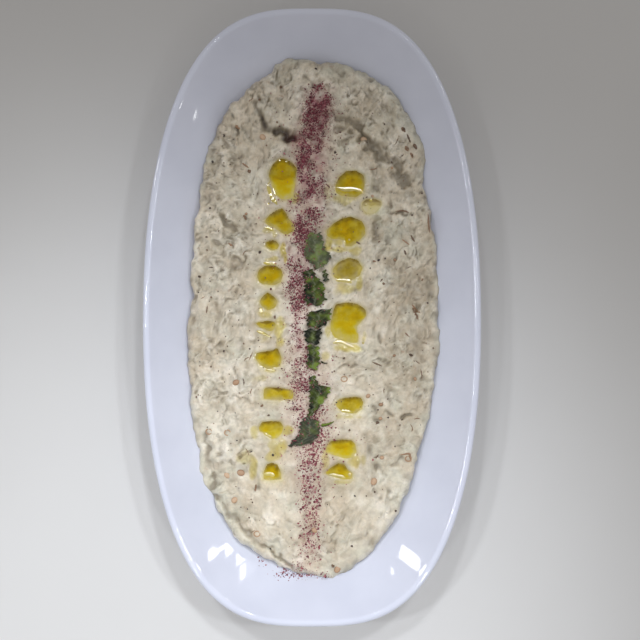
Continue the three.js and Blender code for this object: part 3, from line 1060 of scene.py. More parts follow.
@dataclass
class HeapForm:
    """The heap's main form: its outline, dome, lumps, spooned strip and grooves."""

    half_width: float = 58.6
    far_length: float = 131.0
    near_length: float = 111.0
    middle_y: float = -10.0
    far_powers: tuple[float, float] = (2.2, 2.9)
    near_powers: tuple[float, float] = (2.0, 2.0)
    edge_shifts: tuple[tuple[float, float], ...] = (
        (0, 0.0), (5, 0.0), (10, -0.5), (15, -0.9), (20, -0.7), (25, -1.4), (30, 0.8), (35, 2.2),
        (40, 2.5), (50, 2.4), (55, 1.6), (60, 0.8), (70, -0.6), (80, -1.5), (90, -1.8), (100, -0.3),
        (105, 0.0), (108, -2.5), (112, -3.0), (120, -2.5), (130, -1.5), (140, -1.5), (150, -1.2),
        (155, -2.0), (160, -2.9), (165, -2.6), (170, -3.1), (172, -1.8), (175, -1.5), (176.5, -4.0),
        (178, -2.3), (180, -1.0), (183, -0.2), (190, -0.7), (195, -0.2), (200, -0.7), (205, 0.2),
        (210, 1.3), (214, 2.8), (216, 3.0), (218, 1.6), (220, 1.0), (224, 2.6), (230, 1.8),
        (236, 2.3), (240, 0.5), (250, -1.5), (260, -2.2), (270, -2.5), (276, 0.0), (280, 0.8),
        (290, -0.5), (298, 1.0), (304, 0.0), (310, -1.2), (320, -0.6), (325, -2.0), (330, -2.5),
        (340, -1.0), (350, -0.9), (355, 0.0))
    top: float = 30.0
    edge_top: float = 21.0
    dome_power: float = 1.35
    lump_sizes: tuple[float, float] = (13.0, 7.0)
    lump_heights: tuple[float, float] = (1.5, 1.0)
    lump_seeds: tuple[int, int] = (3, 8)
    strip_half_width: float = 27.0
    strip_far_y: float = 92.0
    strip_near_y: float = -96.0
    strip_depth: float = 0.7
    strip_lumps: float = 0.25
    grooves: tuple[Groove, ...] = (
        Groove(((4, 91), (15, 90), (20, 86.5), (26, 82), (28, 75.5), (32, 73.5), (38, 69),
                (42.5, 62)), 2.6, 3.0),
        Groove(((24.0, 83), (28.0, 76), (30.5, 74)), 1.5, 3.2),
        Groove(((7, 95.5), (17, 94.5), (23.5, 90.5), (28, 85)), -1.4, 1.8),
        Groove(((-49, -55), (-46.3, -73.4), (-43.6, -82.4), (-37.3, -91.5), (-28.2, -101.5),
                (-18.2, -109.7), (-8.3, -115)), 1.75, 1.35),
    )

    def end(self, far: Points) -> tuple[Points, Points, Points]:
        """Return the outline's power across, its power along and its length at either end."""
        powers = (np.where(far, *pair) for pair in zip(self.far_powers, self.near_powers))
        return *powers, np.where(far, self.far_length, self.near_length)

    def edge(self, radius: Points, turn: Points, grow: Points = 0.0) -> tuple[Points, Points]:
        """Find points by their share of the way from the heap's middle to its edge.

        Args:
            radius: The share, from 0 in the middle to 1 on the edge.
            turn: The direction, in radians.
            grow: How far the points are moved outwards, in millimetres.

        Returns:
            The points' x and y.
        """
        across, along, length = self.end(np.sin(turn) > 0)
        x = (radius * self.half_width + grow) * signed_power(np.cos(turn), 2 / across)
        y = self.middle_y + (radius * length + grow) * signed_power(np.sin(turn), 2 / along)
        return x, y

    def edge_shift(self, turn: Points) -> Points:
        """Return how far the heap's real edge lies outside its even outline."""
        turns, shifts = zip(*self.edge_shifts)
        return np.interp(np.degrees(turn) % 360.0, turns, shifts, period=360.0)

    def fullness(self, x: Points, y: Points) -> Points:
        """Return 0 at the heap's middle and 1 along its edge."""
        across, along, length = self.end(y > self.middle_y)
        return np.abs(x / self.half_width) ** across + np.abs((y - self.middle_y) / length) ** along

    def strip(self, x: Points, y: Points) -> Points:
        """Return 1 inside the spooned strip along the heap and 0 outside it.

        Args:
            x, y: The points' places.

        Returns:
            The share at each point.
        """
        sides = 1.0 - smoothstep(self.strip_half_width - 6, self.strip_half_width + 6, np.abs(x))
        far = 1.0 - smoothstep(self.strip_far_y - 10, self.strip_far_y + 4, y)
        return sides * far * smoothstep(self.strip_near_y - 4, self.strip_near_y + 10, y)

    def height(self, x: Points, y: Points, uneven: Points) -> Points:
        """Return the height of the main form at points, with its grooves' widths made uneven.

        Args:
            x, y: The points' places.
            uneven: The share by which the grooves' width varies.

        Returns:
            The height of each point.
        """
        fullness = np.minimum(self.fullness(x, y), 1.0)
        dome = self.top - (self.top - self.edge_top) * fullness ** self.dome_power
        strip = self.strip(x, y)
        rough = sum(
            height * lumps(x, y, size, seed)
            for size, height, seed in zip(self.lump_sizes, self.lump_heights, self.lump_seeds))
        grooves = sum(groove.cut(x, y, uneven) for groove in self.grooves)
        return dome + rough * lerp(1.0, self.strip_lumps, strip) - self.strip_depth * strip - grooves


@dataclass
class Raster:
    """Square cells over the heap, on which layers of numbers are kept."""

    half_width: float = 64.0
    half_length: float = 128.0
    cell: float = 0.3

    def __post_init__(self) -> None:
        """Lay out the cells."""
        columns = int(round(2 * self.half_width / self.cell)) + 1
        rows = int(round(2 * self.half_length / self.cell)) + 1
        xs = -self.half_width + self.cell * np.arange(columns)
        ys = -self.half_length + self.cell * np.arange(rows)
        self.x, self.y = np.meshgrid(xs, ys)
        self.across = np.fft.rfftfreq(columns, self.cell)[None, :] ** 2
        self.along = np.fft.fftfreq(rows, self.cell)[:, None] ** 2

    def blurred(self, layer: Points, reach: float) -> Points:
        """Return a layer smoothed over a reach in millimetres."""
        kernel = np.exp(-2.0 * (math.pi * reach) ** 2 * (self.across + self.along))
        return np.fft.irfft2(np.fft.rfft2(layer) * kernel, s=layer.shape)

    def noise(self, size: float, seed: int, stretch: float = 1.0) -> Points:
        """Return smooth noise of unit spread, with features of a size and their stretch along y.

        Args:
            size: The features' size.
            seed: Chooses the pattern.
            stretch: How many times longer they are along y.

        Returns:
            The noise on every cell.
        """
        random = np.random.default_rng(seed)
        reach = 2.0 * (math.pi * size / 3.0) ** 2
        kernel = np.exp(-reach * (self.across + self.along * stretch ** 2))
        smooth = np.fft.irfft2(
            np.fft.rfft2(random.standard_normal(self.x.shape)) * kernel, s=self.x.shape)
        return smooth / smooth.std()

    def window(self, x: float, y: float, reach: float) -> tuple[slice, slice]:
        """Return the cells within a reach of a place.

        Args:
            x, y: The place.
            reach: The reach, in millimetres.

        Returns:
            The rows and the columns.
        """
        column = int((x + self.half_width) / self.cell)
        row = int((y + self.half_length) / self.cell)
        span = int(reach / self.cell) + 2
        rows, columns = self.x.shape
        return (slice(max(row - span, 0), min(row + span, rows)),
                slice(max(column - span, 0), min(column + span, columns)))

    def sample(self, layer: Points, x: Points, y: Points) -> Points:
        """Read a layer at points between the cells.

        Args:
            layer: The layer.
            x, y: The points' places.

        Returns:
            The layer's value at each point.
        """
        rows, columns = layer.shape
        across = np.clip((x + self.half_width) / self.cell, 0, columns - 1.001)
        along = np.clip((y + self.half_length) / self.cell, 0, rows - 1.001)
        column = across.astype(int)
        row = along.astype(int)
        across = across - column
        along = along - row
        near = lerp(layer[row, column], layer[row, column + 1], across)
        far = lerp(layer[row + 1, column], layer[row + 1, column + 1], across)
        return lerp(near, far, along)


@dataclass(frozen=True)
class FlapLayer:
    """One size of the torn flaps that the mash is made of: each has a lip over a gap."""

    size: float
    lip: float
    gap: float
    # Strength of the painted shade in the gap below each lip.
    painted_gap_shade: float
    seed: int
    stretch: float
    near_share: float
    far_share: float


@dataclass(frozen=True)
class StrandLayer:
    """Thin curved ridges or creases drawn over the lobes."""

    count: int
    lengths: tuple[float, float]
    reach: tuple[float, float]
    heights: tuple[float, float]
    bend: float
    seed: int


@dataclass(frozen=True)
class Patch:
    """A soft patch on the dip: its middle, its half sizes and its strength."""

    x: float
    y: float
    half_width: float
    half_length: float
    strength: float

    def at(self, x: Points, y: Points, uneven: Points, inner: float = 0.35) -> Points:
        """Return the patch's strength at points, with its edge moved by an unevenness."""
        reach = np.hypot((x - self.x) / self.half_width, (y - self.y) / self.half_length)
        return self.strength * (1.0 - smoothstep(inner, 1.2, reach + 0.18 * uneven))


@dataclass
class OilPool:
    """A pool of oil in a hollow pressed by the spoon."""

    node: str
    depth: float
    corners: Path
    murk: float = 0.0
    clean: float = 0.0
    thin: float = 1.0
    far_bank: float = 0.75
    near_bank: float = 0.16
    steps: int = 360
    sides: int = 128
    insets: tuple[float, ...] = (
        9.0, 7.0, 5.2, 4.0, 3.0, 2.3, 1.7, 1.3, 1.0, 0.78, 0.6, 0.45, 0.32, 0.2, 0.1, 0.0, -0.1, -0.2,
        -0.35, -0.5)
    climb: float = 0.07
    climb_reach: float = 0.40
    most_climb_at: float = -0.35
    ripple: float = 0.05
    least_depth: float = 0.5
    lip: float = 0.05
    bank_curve: float = 0.07
    blend: float = 0.3
    bed_detail: float = 0.25
    rounds: int = 12

    def __post_init__(self) -> None:
        """Take the pool's place and level from the frame and round its outline."""
        low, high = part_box(self.node)
        self.level = high.z / MM
        self.x = (low.x + high.x) / 2 / MM
        self.y = (low.y + high.y) / 2 / MM
        corners = np.array(self.corners) - (self.x, self.y)
        share = np.linspace(0.0, 1.0, 12, endpoint=False)[None, :, None]
        corners = lerp(corners[:, None], np.roll(corners, -1, axis=0)[:, None], share).reshape(-1, 2)
        turns = np.arctan2(corners[:, 1], corners[:, 0])
        order = np.argsort(turns)
        fine = np.linspace(-math.pi, math.pi, self.steps, endpoint=False)
        away = np.hypot(corners[:, 0], corners[:, 1])
        radii = np.interp(fine, turns[order], away[order], period=2 * math.pi)
        for _ in range(self.rounds):
            radii = (np.roll(radii, 1) + 2 * radii + np.roll(radii, -1)) / 4
        self.radii = radii
        self.size = float(radii.max())

    def measure(self, x: Points, y: Points) -> tuple[Points, Points, Points]:
        """Set points against the outline.

        Args:
            x, y: The points' places.

        Returns:
            How far each point is out from the middle as a share of the outline, how many
            millimetres outside it, and how far towards the far side, from -1 to 1.
        """
        across, along = x - self.x, y - self.y
        away = np.hypot(across, along)
        place = (np.arctan2(along, across) + math.pi) / (2 * math.pi) * self.steps
        first = np.floor(place).astype(int)
        radius = lerp(self.radii[first % self.steps], self.radii[(first + 1) % self.steps],
                      place - first)
        return away / radius, away - radius, along / np.maximum(away, 0.01)

    def press(self, x: Points, y: Points, height: Points) -> Points:
        """Press the hollow into a surface.

        Args:
            x, y: The points' places.
            height: The surface's height before.

        Returns:
            The surface's height after.
        """
        reach, gap, far = self.measure(x, y)
        bed = self.level - self.depth * np.clip(1.0 - reach ** 2, 0.0, 1.0) ** (0.75 - 0.3 * far)
        rise = lerp(self.near_bank, self.far_bank, (far + 1) / 2)
        slope = self.level + self.lip + rise * gap + self.bank_curve * gap ** 2
        outside = -self.blend * np.logaddexp(-height / self.blend, -slope / self.blend)
        outside = np.maximum(outside, self.level + self.lip + 0.22 * np.clip(gap, 0.0, 1.5))
        outside = lerp(outside, height, smoothstep(2.5, 5.0, gap))
        rough = 0.25 * (height - height.mean()) * smoothstep(1.0, 0.4, reach)
        return lerp(bed + self.bed_detail * rough, outside, smoothstep(-0.5, 0.4, gap))

    def shade(self, x: Points, y: Points) -> Points:
        """Give the oil's shade: painted shade along its far bank, and clean towards its near one.

        Args:
            x, y: The points' places.

        Returns:
            The shade of each point, below 0 where the oil is clean.
        """
        _, gap, far = self.measure(x, y)
        # Painted shade: darker along the far bank of the hollow.
        dark = 0.9 * smoothstep(-2.8, -0.2, gap) * smoothstep(-0.3, 0.9, far)
        dark = np.maximum(dark, self.murk * smoothstep(0.2, -2.5, gap))
        fade = lerp(1.0, 0.35, smoothstep(-0.2, 0.9, far))
        return dark - self.clean * np.clip(1.0 - dark, 0.0, 1.0) * fade

    def rim(self, relief: "HeapRelief", turns: Points) -> Points:
        """Find how far the oil reaches in each direction before the dip rises out of it.

        Args:
            relief: The dip's surface.
            turns: The directions, in radians.

        Returns:
            The reach in each direction.
        """
        steps = np.linspace(0.2, 1.5 * self.size, 300)
        x = self.x + np.outer(np.cos(turns), steps)
        y = self.y + np.outer(np.sin(turns), steps)
        reach, gap, _ = self.measure(x, y)
        dry = (relief.height_at(x, y) > self.level) | (gap > 0.35)
        dry &= reach > 0.5
        first = steps[np.argmax(dry, axis=1)]
        return (np.roll(first, 1) + 2 * first + np.roll(first, -1)) / 4

    def build(self, relief: "HeapRelief", material: Material) -> Object:
        """Make the oil, with its edge drawn up against the dip.

        Args:
            relief: The dip's surface.
            material: The oil.

        Returns:
            The pool.
        """
        turns = np.linspace(0.0, 2 * math.pi, self.sides, endpoint=False)
        rim = self.rim(relief, turns)
        back = np.array(self.insets)[:, None]
        away = np.maximum(rim - back, rim * 0.12 * (10 - back) / 10)
        x = self.x + away * np.cos(turns)
        y = self.y + away * np.sin(turns)
        bed = relief.height_at(x, y)
        climb = np.exp((self.most_climb_at - np.maximum(back, self.most_climb_at)) / self.climb_reach)
        ripple = self.ripple * relief.raster.sample(relief.ripple, x, y)
        top = self.level + self.climb * climb + ripple * smoothstep(0.0, 1.5, back)
        depth = np.clip(top - bed, self.least_depth, None)
        upper = np.stack([x, y, top], axis=-1)
        under = np.stack([x, y, np.minimum(top - 0.06, bed - 0.25)], axis=-1)
        rings = np.concatenate([under[::3], under[-1:], upper[::-1]])
        points, faces = closed_rings(rings)
        hidden = rings.shape[1] * (len(rings) - len(upper))
        depth = depth * self.thin
        thick = np.concatenate([np.zeros(hidden), depth[::-1].ravel(), [0.0, depth[0].mean()]])
        shade = np.concatenate([np.zeros(hidden), self.shade(x, y)[::-1].ravel(), [0.0, 0.0]])
        layers = {Layer.OIL_DEPTH: thick, Layer.SHADE: shade}
        name = self.node.replace("oil_", "oil_pool_")
        return MeshPiece(name, points, faces, layers).build(material, Slot.OIL, self.node)


@dataclass
class HeapRelief:
    """The dip's surface in detail, on a raster."""

    form: HeapForm
    dish: ServingDish
    pools: list[OilPool]
    raster: Raster = field(default_factory=Raster)
    flap_layers: tuple[FlapLayer, ...] = (
        FlapLayer(15.0, 1.70, 0.60, 0.45, 121, 1.2, 1.25, 0.3),
        FlapLayer(9.5, 1.05, 0.45, 0.45, 101, 1.5, 0.75, 1.1),
        FlapLayer(7.5, 1.25, 0.60, 0.52, 131, 1.0, 1.0, 0.25),
        FlapLayer(6.0, 1.05, 0.55, 0.55, 104, 1.7, 0.6, 1.2),
        FlapLayer(4.0, 0.75, 0.45, 0.48, 107, 1.5, 0.35, 1.4),
        FlapLayer(2.6, 0.30, 0.20, 0.32, 110, 1.2, 0.35, 1.7),
    )
    strand_layers: tuple[StrandLayer, ...] = (
        StrandLayer(520, (4.0, 13.0), (0.35, 0.6), (0.25, 0.5), 1.1, 21),
        StrandLayer(380, (3.0, 12.0), (0.3, 0.5), (-0.65, -0.25), 1.3, 22),
    )
    hollows: tuple[Groove, ...] = (
        Groove(((-25.8, 98.5), (-24.4, 94.0), (-23.0, 90.0), (-21.2, 86.0)), 2.1, 1.8),
        Groove(((-23.6, 91.5), (-22.2, 87.0)), 1.0, 2.2),
        Groove(((-16.5, 84.8), (-13.0, 83.6), (-10.0, 80.8)), 2.7, 1.9),
        Groove(((-10.0, 81.6), (-4.0, 82.4), (1.5, 81.0)), 1.9, 2.5),
        Groove(((39.6, 66.8), (42.2, 61.2)), 1.5, 2.4),
    )
    creases: tuple[Groove, ...] = (
        Groove(((10.8, -25.4), (14.5, -23.6), (17.7, -22.8), (21.0, -23.4), (28.3, -24.2)), 1.0, 0.6),
        Groove(((24.9, -40.0), (27.4, -41.6), (29.9, -48.1)), 1.1, 1.2),
        Groove(((34.3, -44.9), (35.5, -46.0)), 1.6, 0.9),
        Groove(((40.4, -46.9), (45.3, -46.0)), 1.5, 0.7),
        Groove(((27.5, 46.0), (30.0, 36.0), (31.0, 26.0)), 1.5, 2.6),
        Groove(((16.0, 80.5), (18.5, 82.0), (17.5, 84.0)), 1.4, 1.1),
        Groove(((36.0, 46.0), (40.0, 46.6), (44.0, 46.2)), 1.6, 0.8),
        Groove(((-41.0, 45.0), (-38.0, 41.5), (-35.5, 39.5)), 1.6, 1.5),
        Groove(((-34.0, -59.0), (-30.0, -56.5), (-26.0, -55.0)), 1.0, 0.7),
        Groove(((23.0, -55.0), (26.5, -60.0), (28.0, -68.0), (31.0, -72.0)), 1.2, 1.4),
        Groove(((29.0, -70.0), (36.0, -68.5), (42.0, -66.0)), 1.2, 1.0),
        Groove(((-26.0, -66.0), (-24.6, -72.0), (-24.8, -80.0)), 1.2, 0.9),
    )
    strip_detail: float = 0.64
    pool_reach: float = 8.0
    no_pool: float = 20.0
    bank_at: float = 0.6
    bank_width: float = 0.8
    scatter_reach: float = 0.94
    strand_points: int = 8
    strand_heading: float = 0.8
    on_oil_gap: float = 0.3

    def __post_init__(self) -> None:
        """Work out the surface and what is kept with it."""
        raster = self.raster
        self.strip = self.form.strip(raster.x, raster.y)
        edge = smoothstep(0.84, 1.0, self.form.fullness(raster.x, raster.y))
        quiet = lerp(0.72, 1.0, smoothstep(-50.0, 5.0, raster.y)) * (1.0 - 0.5 * edge)
        kept = lerp(self.strip_detail, 0.9, smoothstep(0.0, 40.0, raster.y))
        calm = lerp(1.0, kept, self.strip) * quiet
        self.gaps = np.zeros(raster.x.shape)
        self.ripple = raster.noise(3.0, 15)
        detail = self.pile()
        ragged = (raster.x + 0.45 * self.warp[0], raster.y + 0.45 * self.warp[1])
        self.uneven = np.clip(1.0 + 0.36 * raster.noise(3.4, 19) + 0.2 * raster.noise(1.8, 20), 0.35, 2.0)
        base = self.form.height(*ragged, self.uneven)
        broken = np.clip(0.8 + 0.3 * raster.noise(4.5, 18), 0.25, 1.3)
        creases = broken * sum(crease.cut(*ragged) for crease in self.creases)
        creases += sum(hollow.cut(*ragged, self.uneven) for hollow in self.hollows)
        grooves = sum(groove.cut(*ragged, self.uneven) for groove in self.form.grooves)
        grooves *= lerp(1.0, broken, 0.9)
        height = base + detail * calm - creases
        self.gaps *= lerp(1.0, kept, self.strip) * quiet
        pooled = np.full(raster.x.shape, self.no_pool)
        banks = np.zeros(raster.x.shape)
        for pool in self.pools:
            place = raster.window(pool.x, pool.y, pool.size + self.pool_reach)
            height[place] = pool.press(raster.x[place], raster.y[place], height[place])
            _, gap, far = pool.measure(raster.x[place], raster.y[place])
            pooled[place] = np.minimum(pooled[place], gap)
            bank = np.exp(-((gap - self.bank_at) / self.bank_width) ** 2)
            banks[place] += bank * smoothstep(-0.5, 0.7, far)
        self.height = height
        self.calm_height = raster.blurred(height, 1.0)
        self.leaf_fold = raster.noise(3.4, 16)
        self.leaf_blotch = raster.noise(2.6, 17)
        # Painted shade: darker where the surface lies below its blurred self, in creases and hollows.
        hollow = np.clip((raster.blurred(height, 1.4) - height) / 0.70, 0.0, 1.0)
        shadow = smoothstep(0.3, 1.9, creases + 0.70 * np.maximum(grooves, 0.0))
        shadow += smoothstep(1.7, 3.1, creases)
        shadow = raster.blurred(shadow, 0.3)
        self.crease = np.maximum(np.maximum(hollow, self.gaps), shadow) * smoothstep(0.3, 2.2, pooled)
        # Painted shade on the dip's slope just outside each pool, mostly on its far side.
        self.crease += 0.34 * banks * np.clip(broken, 0.3, 1.2)

    def height_at(self, x: Points, y: Points) -> Points:
        """Return the dip's height at points."""
        return self.raster.sample(self.height, x, y)

    def wet_height(self, x: Points, y: Points) -> Points:
        """Return the height of the dip or of the oil over it at points.

        Args:
            x, y: The points' places.

        Returns:
            The height of each point.
        """
        height = self.height_at(x, y)
        for pool in self.pools:
            gap = pool.measure(x, y)[1]
            height = np.where(gap < self.on_oil_gap, np.maximum(height, pool.level), height)
        return height

    def inside(self, x: Points, y: Points) -> Points:
        """Return whether points lie on the heap.

        Args:
            x, y: The points' places.

        Returns:
            True or False for each point.
        """
        form = self.form
        turn = np.arctan2((y - form.middle_y) / form.far_length, x / form.half_width)
        return form.fullness(x, y) < 1.0 + 2.0 * form.edge_shift(turn) / form.far_length

    def scatter(self, count: int, random: np.random.Generator) -> tuple[Points, Points]:
        """Return random places over the heap."""
        radius = np.sqrt(random.random(count)) * self.scatter_reach
        return self.form.edge(radius, random.random(count) * 2 * math.pi)

    def pile(self) -> Points:
        """Lay the flaps over each other, then draw the strands.

        Returns:
            The height that the detail adds to the main form.
        """
        raster = self.raster
        self.tint = 0.5 + 0.10 * raster.noise(10.0, 9) + 0.10 * raster.noise(3.0, 10)
        self.warp = (1.3 * raster.noise(3.6, 6), 1.3 * raster.noise(3.6, 7))
        detail = 0.45 * raster.noise(8.0, 5, 1.6) + 0.30 * raster.noise(4.0, 29, 1.6)
        for layer in self.flap_layers:
            detail += self.flaps(layer)
        for layer in self.strand_layers:
            self.add_strands(detail, layer)
        detail += 0.13 * raster.noise(2.0, 30, 1.3) + 0.06 * raster.noise(1.2, 31)
        self.tint = raster.blurred(self.tint, 0.4)
        return detail - detail.mean()

    def flaps(self, layer: FlapLayer) -> Points:
        """Make one size of flaps; paint shade into their gaps and light onto their lips.

        Args:
            layer: The flaps' size.

        Returns:
            The height that the flaps add.
        """
        raster = self.raster
        side = raster.noise(layer.size, layer.seed, layer.stretch)
        side += 0.35 * raster.noise(layer.size * 0.4, layer.seed + 1, layer.stretch)
        side = raster.sample(side, raster.x + self.warp[0], raster.y + self.warp[1])
        cover = smoothstep(-0.2, 1.0, raster.noise(layer.size * 1.1, layer.seed + 2))
        cover *= lerp(layer.near_share, layer.far_share, smoothstep(-75.0, -5.0, raster.y))
        sharp = 1.2 / layer.size
        edge = smoothstep(-sharp, sharp, side)
        lip = edge * np.exp(-np.maximum(side, 0.0) / 0.7)
        gap = np.exp(-((side + 1.0 * sharp) / (0.85 * sharp)) ** 2)
        # Painted shade: the gap below each lip goes towards the crease colour.
        self.gaps = np.maximum(self.gaps, layer.painted_gap_shade * cover * gap)
        # Painted light and shade: each lip lighter, the low side of each flap darker.
        self.tint += cover * (0.22 * lip - 0.10 * (1.0 - edge))
        return cover * (layer.lip * lip - layer.gap * gap)

    def add_strands(self, detail: Points, layer: StrandLayer) -> None:
        """Draw thin curved ridges or creases over the surface.

        Args:
            detail: The surface, changed in place.
            layer: The strands' sizes.
        """
        random = np.random.default_rng(layer.seed)
        xs, ys = self.scatter(layer.count, random)
        count, mid = self.strand_points, self.strand_points // 2
        for x, y in zip(xs, ys):
            length = random.uniform(*layer.lengths)
            heading = random.normal(math.pi / 2, self.strand_heading)
            bend = random.uniform(-layer.bend, layer.bend)
            reach = random.uniform(*layer.reach)
            height = random.uniform(*layer.heights)
            headings = heading + bend * (np.linspace(0.0, 1.0, count) - 0.5)
            px = x + np.cumsum(np.cos(headings)) * length / count
            py = y + np.cumsum(np.sin(headings)) * length / count
            place = self.raster.window(float(px[mid]), float(py[mid]), length * 0.6 + 3 * reach)
            gap = distance_to_path(
                self.raster.x[place], self.raster.y[place], tuple(zip(px.tolist(), py.tolist())))
            middle = np.hypot(self.raster.x[place] - px[mid], self.raster.y[place] - py[mid])
            fade = np.clip(1.15 - (middle / (0.55 * length)) ** 2, 0.0, 1.0)
            detail[place] += height * fade * np.exp(-((gap / reach) ** 2))


@dataclass
class SumacBand:
    """Where the sumac falls: its width and how thickly it lies, from far to near."""

    cuts: tuple[tuple[float, float, float, float], ...] = (
        (108.0, 0.0, 8.0, 0.0),
        (104.0, -2.5, 9.0, 0.55),
        (97.0, -2.5, 9.0, 1.0),
        (90.0, -4.5, 7.5, 0.9),
        (80.5, -8.0, 6.5, 0.60),
        (70.0, -9.0, 6.0, 0.68),
        (50.0, -9.5, 5.5, 0.56),
        (38.0, -10.0, 4.0, 0.56),
        (24.0, -12.0, 0.0, 0.5),
        (8.0, -12.0, -0.5, 0.42),
        (0.0, -10.0, -1.0, 0.4),
        (-14.0, -9.5, -1.0, 0.42),
        (-24.0, -10.0, 6.0, 0.33),
        (-40.0, -10.5, 7.0, 0.30),
        (-55.0, -9.0, 9.0, 0.30),
        (-66.0, -7.5, 8.0, 0.20),
        (-76.0, -7.0, 4.0, 0.22),
        (-90.0, -5.5, 4.0, 0.18),
        (-104.0, -5.5, 4.0, 0.16),
        (-112.0, -7.0, 4.0, 0.12),
        (-117.0, -14.0, 3.0, 0.04),
        (-120.0, -18.0, 3.0, 0.0),
    )

    def at(self, y: Points) -> tuple[Points, Points, Points]:
        """Return the band's middle, half width and thickness at a place along the heap.

        Args:
            y: The place.

        Returns:
            The three measures.
        """
        ends = np.array([cut[0] for cut in self.cuts])[::-1]
        left, right, share = (np.array([cut[i] for cut in self.cuts])[::-1] for i in (1, 2, 3))
        low, high = np.interp(y, ends, left), np.interp(y, ends, right)
        return (low + high) / 2, (high - low) / 2, np.interp(y, ends, share)

    def strength(self, x: Points, y: Points) -> Points:
        """Return how thickly the sumac lies at points, from 0 to 1."""
        middle, half, share = self.at(y)
        return share * np.exp(-np.abs((x - middle) / (half * 1.05)) ** 2.6)


